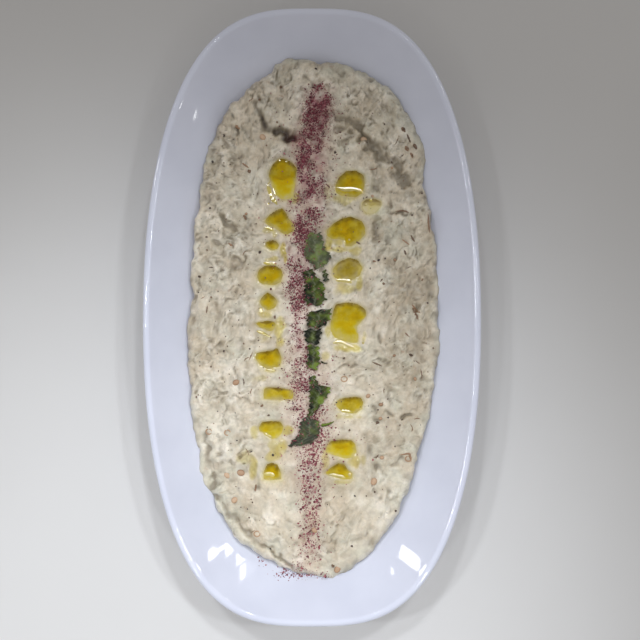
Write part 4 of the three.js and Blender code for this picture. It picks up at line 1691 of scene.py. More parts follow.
@dataclass
class DipHeap:
    """The dip as one closed mesh over the dish's floor."""

    relief: HeapRelief
    band: SumacBand
    columns: int = 196
    rows: int = 396
    edge_power: int = 5
    edge_round: float = 2.6 / 75.0
    edge_sink: float = 0.5
    edge_rise: float = 0.4
    fit_gap: float = 0.3
    under_shares: tuple[float, ...] = (0.93, 0.84, 0.72, 0.55, 0.3)
    film_depth: float = 0.75
    most_film: float = 3.0
    seep: float = 0.26
    seep_runs: tuple[float, float] = (1.5, 0.6)
    seep_rise: float = 0.9
    seep_reach: float = 9.0
    stained: float = 0.70
    most_stain: float = 0.9

    def disc(self) -> tuple[Points, Points]:
        """Spread a square grid over a disc and return each crossing's radius and turn.

        Returns:
            The radii from 0 to 1, and the turns in radians.
        """
        u, v = np.meshgrid(
            np.linspace(-1, 1, self.columns + 1), np.linspace(-1, 1, self.rows + 1))
        wide = np.abs(u) >= np.abs(v)
        radius = np.where(wide, np.abs(u), np.abs(v))
        safe_u = np.where(u == 0, 1e-9, u)
        safe_v = np.where(v == 0, 1e-9, v)
        side = np.where(u > 0, 0.0, math.pi) + math.pi / 4 * (v / safe_u)
        end = np.where(v > 0, math.pi / 2, -math.pi / 2) - math.pi / 4 * (u / safe_v)
        return radius, np.where(wide, side, end)

    def edge_grow(self, turn: Points) -> Points:
        """Return how far the heap's ragged edge lies outside its even outline.

        Args:
            turn: The turn at each point.

        Returns:
            The distance for each turn.
        """
        x, y = self.relief.form.edge(1.0, turn)
        raster = self.relief.raster
        ragged = 0.40 * raster.sample(raster.noise(7.0, 71), x, y)
        ragged += 0.25 * raster.sample(raster.noise(2.6, 72), x, y)
        return self.relief.form.edge_shift(turn) + ragged

    def underside(self, edge: Points, share: float) -> Points:
        """Return a ring under the heap, at a share of the way from its middle to its edge.

        Args:
            edge: The heap's edge.
            share: The share.

        Returns:
            The ring's points.
        """
        middle_y = self.relief.form.middle_y
        x, y = edge[:, 0] * share, middle_y + (edge[:, 1] - middle_y) * share
        return np.column_stack([x, y, self.relief.dish.surface(x, y) + self.fit_gap])

    def build(self, material: Material) -> Object:
        """Make the dip.

        Args:
            material: The dip's finish.

        Returns:
            The dip.
        """
        form = self.relief.form
        radius, turn = self.disc()
        x, y = form.edge(radius, turn, radius ** self.edge_power * self.edge_grow(turn))
        glaze = self.relief.dish.surface(x, y)
        top = self.relief.height_at(x, y)
        inwards = np.clip((1.0 - radius) / self.edge_round, 0.0, 1.0)
        bead = np.sqrt(1.0 - (1.0 - inwards) ** 2)
        z = lerp(glaze - self.edge_sink, np.maximum(top, glaze + self.edge_rise), bead)
        upper = np.stack([x, y, z], axis=-1).reshape(-1, 3)
        quads, around = grid_faces(x.shape)
        points, faces, ring = [upper], [quads], around
        for share in self.under_shares:
            points.append(self.underside(upper[around, :2], share))
            inner = len(upper) + (len(points) - 2) * len(around) + np.arange(len(around))
            faces.append(joined_edges(ring, inner))
            ring = inner
        middle = np.array([[0.0, form.middle_y, self.relief.dish.floor_top + self.fit_gap]])
        points = np.concatenate([*points, middle])
        last = np.full(len(ring), len(points) - 1)
        cap = np.stack([ring, last, np.roll(ring, -1)], axis=-1)
        triangles = np.concatenate([halved(np.concatenate(faces)), cap])
        hidden = len(points) - len(upper)
        layers = {layer: np.concatenate([values.ravel(), np.zeros(hidden)])
                  for layer, values in self.shades(x, y, z).items()}
        return MeshPiece("dip_heap", points, triangles, layers).build(material, Slot.DIP, "dip")

    def shades(self, x: Points, y: Points, z: Points) -> dict[Layer, Points]:
        """Return the dip's painted crease shade, tint, oil film and sumac stain at points.

        Args:
            x, y, z: The points of the dip's surface.

        Returns:
            The numbers to keep at the points.
        """
        relief = self.relief
        raster = relief.raster
        crease = raster.sample(relief.crease, x, y)
        uneven = raster.sample(raster.noise(3.5, 42), x, y)
        tone = sum(patch.at(x, y, uneven, 0.0) for patch in TONES)
        tint = np.clip(raster.sample(relief.tint, x, y) + tone, 0.0, 1.0)
        film = self.film_depth * sum(film.at(x, y, uneven) for film in FILMS)
        for pool in relief.pools:
            _, gap, far = pool.measure(x, y)
            over = np.maximum(z - pool.level, 0.0)
            run = lerp(*self.seep_runs, (far + 1) / 2)
            seep = self.seep * np.exp(-np.maximum(gap, 0.0) / run) * np.exp(-over / self.seep_rise)
            film = np.where(gap < self.seep_reach, np.maximum(film, seep), film)
            film = np.where(gap < relief.on_oil_gap, np.maximum(film, pool.level - z), film)
        film = np.clip(film, 0.0, self.most_film)
        hue = 0.30 * raster.sample(raster.noise(8.0, 43) + 0.7 * raster.noise(3.5, 44), x, y)
        hue += sum(patch.at(x, y, uneven, 0.0) for patch in HUES)
        hue += 0.8 * smoothstep(0.88, 1.0, relief.form.fullness(x, y))
        stain = self.band.strength(x, y)
        patchy = 0.75 + 0.25 * raster.sample(raster.noise(2.5, 41), x, y)
        coarse = lerp(1.0, 0.8, relief.form.strip(x, y)) * lerp(0.7, 1.0, smoothstep(-50.0, 10.0, y))
        return {Layer.CREASE: crease, Layer.TINT: tint, Layer.OIL_DEPTH: film, Layer.COARSE: coarse,
                Layer.HUE: np.clip(hue, -1.0, 1.0),
                Layer.STAIN: np.clip(self.stained * stain ** 0.72 * patchy, 0.0, self.most_stain)}


# ---------------------------------------------------------------- oil beads
@dataclass
class OilBeads:
    """Raised beads of oil along the pools' edges, which catch the light."""

    relief: HeapRelief
    thickness: float = 0.24
    half_width: float = 0.42
    unevenness: float = 0.22
    lift: float = 0.02
    depth: float = 0.35
    step: float = 0.25
    sides: int = 18
    rounds: int = 6

    def build(self, name: str, beads: list[tuple[float, Path]], seed: int, material: Material) -> Object:
        """Make some of the beads.

        Args:
            name: The piece's name.
            beads: Each bead's width and path.
            seed: The seed of their unevenness.
            material: The oil.

        Returns:
            The beads as one piece.
        """
        random = np.random.default_rng(seed)
        parts, depths = [], []
        for width, path in beads:
            flat = smooth_path(path, self.step)
            share = np.linspace(0.0, 1.0, len(flat))
            taper = np.clip(np.sin(math.pi * np.clip(share, 0.03, 0.97)) * 1.6, 0.0, 1.0) ** 0.6
            swell = np.interp(share, np.linspace(0, 1, 7), random.uniform(-1, 1, 7))
            half = self.half_width * width * taper * (1.0 + self.unevenness * swell)
            level = self.relief.wet_height(flat[:, 0], flat[:, 1])
            for _ in range(self.rounds):
                level[1:-1] = (level[:-2] + 2 * level[1:-1] + level[2:]) / 4
            centres = np.column_stack([flat, level + self.lift])
            points, faces = strand(centres, half, self.thickness * taper, self.sides)
            parts.append((points, faces))
            depths.append(np.full(len(points), self.depth))
        points, faces = joined(parts)
        layers = {Layer.OIL_DEPTH: np.concatenate(depths), Layer.SHADE: np.zeros(len(points))}
        return MeshPiece(name, points, faces, layers).build(material, Slot.OIL)


# ---------------------------------------------------------------- sumac and seeds
class CrumbShape:
    """A small crumb that is scaled, turned and dented: twelve-cornered, or six-cornered."""

    def __init__(self, plain: bool = False) -> None:
        """Work out the crumb's corners and faces.

        Args:
            plain: Whether the crumb has six corners instead of twelve.
        """
        long = (1 + math.sqrt(5)) / 2
        corners = [(-1, long, 0), (1, long, 0), (-1, -long, 0), (1, -long, 0),
                   (0, -1, long), (0, 1, long), (0, -1, -long), (0, 1, -long),
                   (long, 0, -1), (long, 0, 1), (-long, 0, -1), (-long, 0, 1)]
        self.corners = np.array(corners, dtype=float) / math.hypot(1.0, long)
        self.faces = np.array([
            (0, 11, 5), (0, 5, 1), (0, 1, 7), (0, 7, 10), (0, 10, 11),
            (1, 5, 9), (5, 11, 4), (11, 10, 2), (10, 7, 6), (7, 1, 8),
            (3, 9, 4), (3, 4, 2), (3, 2, 6), (3, 6, 8), (3, 8, 9),
            (4, 9, 5), (2, 4, 11), (6, 2, 10), (8, 6, 7), (9, 8, 1)])
        if plain:
            self.corners = np.array(
                [(1, 0, 0), (0, 1, 0), (-1, 0, 0), (0, -1, 0), (0, 0, 1), (0, 0, -1)], dtype=float)
            self.faces = np.array([
                (0, 1, 4), (1, 2, 4), (2, 3, 4), (3, 0, 4), (1, 0, 5), (2, 1, 5), (3, 2, 5), (0, 3, 5)])

    def strew(self, name: str, places: Points, sizes: Points, shades: Points, dent: float,
              random: np.random.Generator) -> MeshPiece:
        """Make one mesh of many crumbs.

        Args:
            name: The piece's name.
            places: Each crumb's middle, of shape (count, 3).
            sizes: Each crumb's half sizes, of shape (count, 3).
            shades: Each crumb's shade from 0 to 1.
            dent: How uneven the crumbs are, as a share of their size.
            random: The stream of random numbers.

        Returns:
            The mesh.
        """
        count = len(places)
        corners = len(self.corners)
        uneven = 1.0 + dent * random.uniform(-1, 1, (count, corners, 1))
        local = self.corners[None] * uneven * sizes[:, None, :]
        turn = random.uniform(0, 2 * math.pi, count)
        tip = random.normal(0.0, 0.45, (count, 2))
        tipped_z = local[..., 2] + local[..., 0] * np.sin(tip[:, :1]) + local[..., 1] * np.sin(tip[:, 1:])
        cos, sin = np.cos(turn)[:, None], np.sin(turn)[:, None]
        x = local[..., 0] * cos - local[..., 1] * sin
        y = local[..., 0] * sin + local[..., 1] * cos
        points = np.stack([x, y, tipped_z], axis=-1) + places[:, None, :]
        faces = self.faces[None] + corners * np.arange(count)[:, None, None]
        layers = {Layer.SHADE: np.repeat(shades, corners)}
        return MeshPiece(name, points.reshape(-1, 3), faces.reshape(-1, 3), layers)


@dataclass
class Sumac:
    """Ground sumac strewn along the band: one size of its grains."""

    relief: HeapRelief
    band: SumacBand
    name: str
    count: int
    radii: tuple[float, float]
    seed: int
    plain: bool = False
    strays: float = 0.13
    stray_spread: float = 1.15
    even_half: float = 0.7
    even_blur: float = 0.27
    full_half: float = 11.0
    on_oil: float = 0.15
    flatness: float = 0.7
    sunk: float = 0.35
    dent: float = 0.25
    near_fade: tuple[float, float] = (-70.0, -20.0)
    near_clumps: float = 0.45
    near_size: float = 1.2
    near_shade: float = 0.12
    tries_each: int = 6
    spill: tuple[tuple[float, float, float, float, float], ...] = (
        (-11.0, -118.6, 9.0, 2.2, 0.006), (-23.0, -113.2, 2.0, 1.6, 0.001),
        (-2.0, -119.3, 10.0, 1.8, 0.004))

    def build(self, material: Material) -> Object:
        """Strew the sumac.

        Args:
            material: The sumac's finish.

        Returns:
            The sumac as one piece.
        """
        random = np.random.default_rng(self.seed)
        tries = self.count * self.tries_each
        y = random.uniform(self.band.cuts[-1][0], self.band.cuts[0][0], tries)
        middle, half, share = self.band.at(y)
        stray = random.random(tries) < self.strays
        even = random.uniform(-self.even_half, self.even_half, tries)
        even += random.normal(0.0, self.even_blur, tries)
        x = middle + half * np.where(stray, random.normal(0.0, self.stray_spread, tries), even)
        raster = self.relief.raster
        clumps = 0.50 * raster.sample(raster.noise(3.0, 53), x, y)
        clumps = np.clip(0.75 + clumps + 0.40 * raster.sample(raster.noise(7.0, 55), x, y), 0.05, 2.0)
        clumps = lerp(1.0, clumps, lerp(self.near_clumps, 1.0, smoothstep(*self.near_fade, y)))
        for pool in self.relief.pools:
            clumps = np.where(pool.measure(x, y)[1] < 0.2, self.on_oil * clumps, clumps)
        wanted = share * half / self.full_half * clumps
        kept = np.flatnonzero(random.random(tries) < wanted)[:self.count]
        x, y = x[kept], y[kept]
        for sx, sy, wide, long, part in self.spill:
            spilt = int(part * self.count)
            x = np.concatenate([x, random.normal(sx, wide / 2, spilt)])
            y = np.concatenate([y, random.normal(sy, long / 2, spilt)])
        size = lerp(*self.radii, random.random(len(x)) ** 2.2)
        size *= lerp(self.near_size, 1.0, smoothstep(*self.near_fade, y))
        sizes = size[:, None] * random.uniform(0.6, 1.25, (len(x), 3))
        sizes[:, 2] *= self.flatness
        ground = self.relief.wet_height(x, y)
        glaze = self.relief.dish.surface(x, y)
        ground = np.where(self.relief.inside(x, y), np.maximum(ground, glaze), glaze)
        places = np.stack([x, y, ground + sizes[:, 2] * self.sunk], axis=-1)
        shades = random.beta(1.6, 2.2, len(x))
        shades += self.near_shade * smoothstep(*self.near_fade[::-1], y)
        grains = CrumbShape(self.plain).strew(self.name, places, sizes, shades, self.dent, random)
        return grains.build(material, Slot.SUMAC)


def dust_on_leaves(leaves: tuple["ParsleyLeaf", ...], material: Material) -> Object:
    """Lay the sumac that has landed on the leaves.

    Args:
        leaves: The leaves, already built.
        material: The sumac's finish.

    Returns:
        The sumac on the leaves.
    """
    seed, least, most, dent = 54, 0.16, 0.42, 0.25
    random = np.random.default_rng(seed)
    places = np.concatenate([leaf.landed for leaf in leaves])
    sizes = random.uniform(least, most, (len(places), 1)) * random.uniform(0.6, 1.2, (len(places), 3))
    shades = random.beta(1.6, 2.0, len(places))
    dust = CrumbShape().strew("sumac_on_leaves", places, sizes, shades, dent, random)
    return dust.build(material, Slot.SUMAC)


@dataclass
class AubergineBits:
    """Seeds, charred specks and strips of skin on the dip."""

    relief: HeapRelief
    loose_specks: int = 420
    speck_sizes: tuple[float, float] = (0.14, 0.42)
    named_speck_sizes: tuple[float, float] = (0.4, 0.85)
    pale_seeds: int = 20
    pale_seed_sizes: tuple[float, float] = (0.7, 1.2)
    tan_seed_sizes: tuple[float, float] = (1.5, 1.85)
    seed_sides: int = 14
    seed_rings: int = 11
    ring_radii: tuple[float, float] = (1.35, 1.2)
    ring_thickness: float = 0.3
    loose_skins: int = 60
    skin_lengths: tuple[float, float] = (0.9, 2.4)
    skin_widths: tuple[float, float] = (0.35, 0.6)

    def seeds(self, material: Material) -> Object:
        """Make the tan seeds, among them some that lie as rings.

        Args:
            material: The seeds' finish.

        Returns:
            The seeds as one piece.
        """
        random = np.random.default_rng(81)
        parts, shades = [], []
        x, y = self.relief.scatter(self.pale_seeds, random)
        away = (np.abs(x) > 25.0) & (self.relief.form.fullness(x, y) < 0.8)
        loose = list(zip(x[away], y[away]))
        for i, (sx, sy) in enumerate([*TAN_SEEDS, *loose]):
            named = i < len(TAN_SEEDS)
            long = random.uniform(*(self.tan_seed_sizes if named else self.pale_seed_sizes))
            turn = random.uniform(0, math.pi)
            level = float(self.relief.height_at(np.array(sx), np.array(sy)))
            share = np.linspace(-1.0, 1.0, self.seed_rings)
            path = np.stack([sx + long * share * math.cos(turn), sy + long * share * math.sin(turn),
                             level + 0.2 + 0.06 * share], axis=-1)
            half = long * 0.82 * np.sqrt(np.clip(1.02 - share ** 2, 0.0, 1.0))
            parts.append(strand(path, half, 0.5 * half, self.seed_sides))
            tone = random.uniform(0.55, 0.95) if named else random.uniform(0.4, 0.8)
            # Painted shade: each seed is darker down its sides and underneath than on its top.
            turns = np.linspace(0.0, 2 * math.pi, self.seed_sides, endpoint=False)
            crown = np.tile(np.maximum(np.sin(turns), 0.0), self.seed_rings)
            shades.append(tone - 0.3 * (1.0 - np.append(crown, [0.2, 0.2])))
        for sx, sy in RING_SEEDS:
            around = np.linspace(0.0, 1.9 * math.pi, 26) + random.uniform(0, 6.3)
            px = sx + self.ring_radii[0] * np.cos(around)
            py = sy + self.ring_radii[1] * np.sin(around)
            level = self.relief.height_at(px, py)
            path = np.stack([px, py, level * 0.4 + level.mean() * 0.6 + 0.1], axis=-1)
            half = np.full(len(path), self.ring_thickness)
            parts.append(strand(path, half, half, 8))
            shades.append(np.full(len(parts[-1][0]), random.uniform(0.55, 0.8)))
        points, faces = joined(parts)
        layers = {Layer.SHADE: np.concatenate(shades)}
        return MeshPiece("aubergine_seeds", points, faces, layers).build(material, Slot.SEED)

    def specks(self, material: Material) -> Object:
        """Make the dark charred specks.

        Args:
            material: The specks' finish.

        Returns:
            The specks as one piece.
        """
        random = np.random.default_rng(82)
        x, y = self.relief.scatter(self.loose_specks, random)
        calm = (np.abs(x) < 24.0) & (random.random(len(x)) < 0.6)
        x, y = x[~calm], y[~calm]
        size = np.concatenate([random.uniform(*self.named_speck_sizes, len(SPECKS)),
                               random.uniform(*self.speck_sizes, len(x))])
        named = np.array(SPECKS)
        x, y = np.concatenate([named[:, 0], x]), np.concatenate([named[:, 1], y])
        sizes = size[:, None] * random.uniform(0.6, 1.3, (len(x), 3))
        sizes[:, 2] *= 0.55
        level = self.relief.wet_height(x, y)
        places = np.stack([x, y, level + sizes[:, 2] * 0.3], axis=-1)
        shades = np.clip(random.beta(1.3, 4.0, len(x)) * 0.5, 0.0, 1.0)
        return CrumbShape().strew("char_specks", places, sizes, shades, 0.35, random).build(
            material, Slot.SEED)

    def skins(self, material: Material) -> Object:
        """Make the thin brown strips of skin.

        Args:
            material: The skins' finish.

        Returns:
            The strips as one piece.
        """
        random = np.random.default_rng(83)
        paths = list(SKINS)
        xs, ys = self.relief.scatter(self.loose_skins, random)
        for sx, sy in zip(xs, ys):
            if abs(sx) < 26.0:
                continue
            turn, long = random.uniform(0, math.pi), random.uniform(*self.skin_lengths)
            bend = random.uniform(-0.5, 0.5)
            dx, dy = long * math.cos(turn), long * math.sin(turn)
            paths.append((random.uniform(*self.skin_widths),
                          ((sx - dx, sy - dy), (sx - bend * dy, sy + bend * dx), (sx + dx, sy + dy))))
        parts, shades = [], []
        for width, path in paths:
            flat = smooth_path(path, 0.4)
            share = np.linspace(0.0, 1.0, len(flat))
            taper = np.clip(np.sin(math.pi * np.clip(share, 0.04, 0.96)) * 1.5, 0.0, 1.0)
            level = self.relief.height_at(flat[:, 0], flat[:, 1])
            rough = 1.0 + 0.3 * random.uniform(-1, 1, len(flat))
            centres = np.column_stack([flat, level + 0.08])
            parts.append(strand(centres, width / 2 * taper * rough, 0.3 * width * taper, 8))
            shades.append(np.full(len(parts[-1][0]), random.uniform(0.1, 0.45)))
        points, faces = joined(parts)
        layers = {Layer.SHADE: np.concatenate(shades)}
        return MeshPiece("aubergine_skin", points, faces, layers).build(material, Slot.SEED)


# ---------------------------------------------------------------- parsley
@dataclass
class ParsleyLeaf:
    """A chopped leaf lying on the dip: cuts across it give y, left edge and right edge."""

    node: str
    cuts: tuple[tuple[float, float, float], ...]
    shade: float = 0.45
    bright_side: float = 0.0
    thickness: float = 0.28
    lift: float = 0.7
    crinkle: float = 0.5
    teeth: float = 0.5
    dust: int = 0
    haze: float = 0.0
    cell: float = 0.42
    rib_reach: float = 0.35
    barb_gap: float = 2.4
    barb_reach: float = 0.22

    def dusted(self, upper: Points, random: np.random.Generator) -> Points:
        """Choose places on the leaf, most towards its left edge, where sumac has landed.

        Args:
            upper: The leaf's upper points.
            random: The source of the random numbers.

        Returns:
            The chosen places.
        """
        rows, columns = upper.shape[:2]
        row = random.integers(0, rows - 1, self.dust)
        column = (random.random(self.dust) ** 1.8 * (columns - 1)).astype(int)
        share = random.random((self.dust, 1))
        return lerp(upper[row, column], upper[row + 1, column + 1], share)

    def build(self, relief: HeapRelief, material: Material) -> Object:
        """Make the leaf.

        Args:
            relief: The dip's surface.
            material: The leaf's finish.

        Returns:
            The leaf.
        """
        random = np.random.default_rng(sum(map(ord, self.node)))
        ys = np.array([cut[0] for cut in self.cuts])
        length = float(ys[0] - ys[-1])
        rows = max(int(length / self.cell), 8)
        y = np.linspace(ys[0], ys[-1], rows + 1)
        left = np.interp(-y, -ys, [cut[1] for cut in self.cuts])
        right = np.interp(-y, -ys, [cut[2] for cut in self.cuts])
        phase = random.uniform(0, 6.3, 4)
        left = left + self.teeth * (np.sin(y * 3.1 + phase[0]) + 0.6 * np.sin(y * 5.3 + phase[1]))
        right = right + self.teeth * (np.sin(y * 2.7 + phase[2]) + 0.6 * np.sin(y * 4.9 + phase[3]))
        right = np.maximum(right, left + 0.4)
        columns = max(int(float(np.max(right - left)) / self.cell), 6)
        u = np.linspace(0.0, 1.0, columns + 1)
        x = lerp(left[:, None], right[:, None], u[None, :])
        from_middle = np.abs(np.linspace(-1, 1, rows + 1))[:, None]
        y = y[:, None] + 0.5 * np.sin(x * 1.3 + phase[1]) * from_middle ** 3
        raster = relief.raster
        fold = 0.6 * raster.sample(relief.leaf_fold, x, y)
        blotch = raster.sample(relief.leaf_blotch, x, y)
        edge = np.maximum(np.abs(2 * u - 1), from_middle)
        rise = self.crinkle * (fold + 0.9) * (0.35 + 0.65 * edge ** 2)
        low = relief.height_at(x, y) + self.lift + rise
        low = np.maximum(low, raster.sample(relief.calm_height, x, y) + 0.15)
        upper = np.stack([x, y, low + self.thickness], axis=-1)
        under = np.stack([x, y, low], axis=-1)
        quads, border = grid_faces(x.shape)
        after = np.roll(border, -1)
        sides = np.stack([border, after, after + x.size, border + x.size], axis=-1)
        faces = np.concatenate([quads[:, [0, 3, 2, 1]], quads[:, [1, 2, 3, 0]] + x.size, sides])
        points = np.concatenate([upper.reshape(-1, 3), under.reshape(-1, 3)])
        shade = self.shade + 0.32 * blotch + self.bright_side * (u - 0.5)
        # Painted light: the leaf is lighter where its crinkle lifts it.
        shade = np.clip(shade + 0.2 * fold, 0.0, 1.0)
        from_rib = (u - 0.5) * (right - left)[:, None]
        rib = np.exp(-(from_rib / self.rib_reach) ** 2)
        along = np.mod(y - 0.8 * np.abs(from_rib), self.barb_gap) - self.barb_gap / 2
        barbs = np.exp(-(along / self.barb_reach) ** 2)
        vein = np.clip(rib + 0.6 * barbs + self.haze, 0.0, 1.6)
        layers = {Layer.SHADE: np.tile(shade.ravel(), 2), Layer.VEIN: np.tile(vein.ravel(), 2)}
        self.landed = self.dusted(upper, random)
        name = self.node.replace("parsley_", "chopped_")
        return MeshPiece(name, points, faces, layers).build(material, Slot.PARSLEY, self.node)


@dataclass
class ParsleyShred:
    """A thin strip of parsley between two ends."""

    node: str
    start: tuple[float, float]
    end: tuple[float, float]
    width: float
    shade: float

    def build(self, relief: HeapRelief, material: Material) -> Object:
        """Make the shred.

        Args:
            relief: The dip's surface.
            material: The leaf's finish.

        Returns:
            The shred.
        """
        share = np.linspace(0.0, 1.0, 24)
        ax, ay = self.start
        bx, by = self.end
        length = math.hypot(bx - ax, by - ay)
        bow = 0.4 * np.sin(math.pi * share)
        x = lerp(ax, bx, share) + (by - ay) / length * bow
        y = lerp(ay, by, share) + (ax - bx) / length * bow
        half = self.width / 2 * (1.0 - 0.75 * share) * np.sqrt(np.clip(share * 12 + 0.15, 0.0, 1.0))
        lift = relief.height_at(x, y) + 0.45 + 0.25 * np.sin(3 * share)
        points, faces = strand(np.column_stack([x, y, lift]), half, 0.15 + 0.2 * half)
        shade = np.full(len(points), self.shade)
        # Painted light and shade: one side of the shred lighter, the other darker.
        shade[:-2] += 0.3 * np.tile(np.cos(np.linspace(0, 2 * math.pi, 10, endpoint=False)), len(x))
        layers = {Layer.SHADE: np.clip(shade, 0.0, 1.0), Layer.VEIN: np.zeros(len(points))}
        name = self.node.replace("parsley_", "chopped_")
        return MeshPiece(name, points, faces, layers).build(material, Slot.PARSLEY, self.node)


LEAVES = (
    ParsleyLeaf("parsley_leaf_1", (
        (36.7, -1.4, 4.0), (33.1, -2.8, 4.9), (29.0, -3.5, 6.0), (26.5, -3.5, 8.8),
        (24.4, -1.9, 7.9), (22.2, -0.1, 5.8), (20.6, 1.5, 4.0)), 0.62, -0.28, dust=50, haze=0.7),
    ParsleyLeaf("parsley_leaf_2", (
        (19.9, -4.2, 0.4), (17.2, -3.9, 1.7), (14.4, -2.8, 4.5), (11.7, -3.5, 5.8),
        (9.0, -3.8, 5.1), (6.7, -3.5, 6.5), (3.8, -1.9, 3.5)), 0.36, 0.3, dust=60),
    ParsleyLeaf("parsley_leaf_3", (
        (2.2, 6.3, 8.7), (0.6, -1.9, 8.5), (-2.3, -2.2, 8.1), (-5.0, -2.3, 6.0),
        (-6.4, -2.2, 4.5)), 0.22, 0.4, dust=20),
    ParsleyLeaf("parsley_leaf_4", (
        (-7.1, -3.7, 4.4), (-9.1, -3.5, 4.0), (-11.8, -3.0, 3.3), (-13.6, -2.3, 3.1)), -0.3),
    ParsleyLeaf("parsley_leaf_5", (
        (-14.3, -2.3, 3.1), (-16.8, -1.6, 3.0), (-19.5, -1.9, 3.3), (-22.2, -2.4, 3.3),
        (-25.1, -1.6, 1.7)), 0.52, 0.2, dust=10),
    ParsleyLeaf("parsley_leaf_6", (
        (-28.3, -1.1, 1.3), (-32.1, -1.0, 3.1), (-33.3, -1.1, 8.6), (-36.2, -1.1, 7.4),
        (-39.8, -1.1, 5.1), (-42.9, -1.4, 2.4), (-46.5, -2.1, -0.1)), 0.40, 0.45, dust=25),
    ParsleyLeaf("parsley_leaf_7", (
        (-47.0, -3.9, 0.4), (-48.8, -5.2, 2.9), (-51.0, -5.7, 3.4), (-54.1, -5.5, 3.0),
        (-56.4, -8.2, 1.7), (-58.2, -9.9, -0.5), (-59.7, -10.4, -6.8)), 0.12, 0.2, dust=45, haze=0.35),
    ParsleyLeaf("parsley_leaf_8", (
        (20.0, 4.8, 6.2), (18.0, 4.8, 6.8), (15.8, 5.1, 7.3), (14.5, 5.8, 6.9)), 0.2),
)
SHREDS = (
    ParsleyShred("parsley_shred_1", (4.1, -50.3), (9.9, -48.6), 1.6, 0.85),
    ParsleyShred("parsley_shred_2", (4.0, -21.5), (7.0, -22.2), 0.9, 0.1),
)
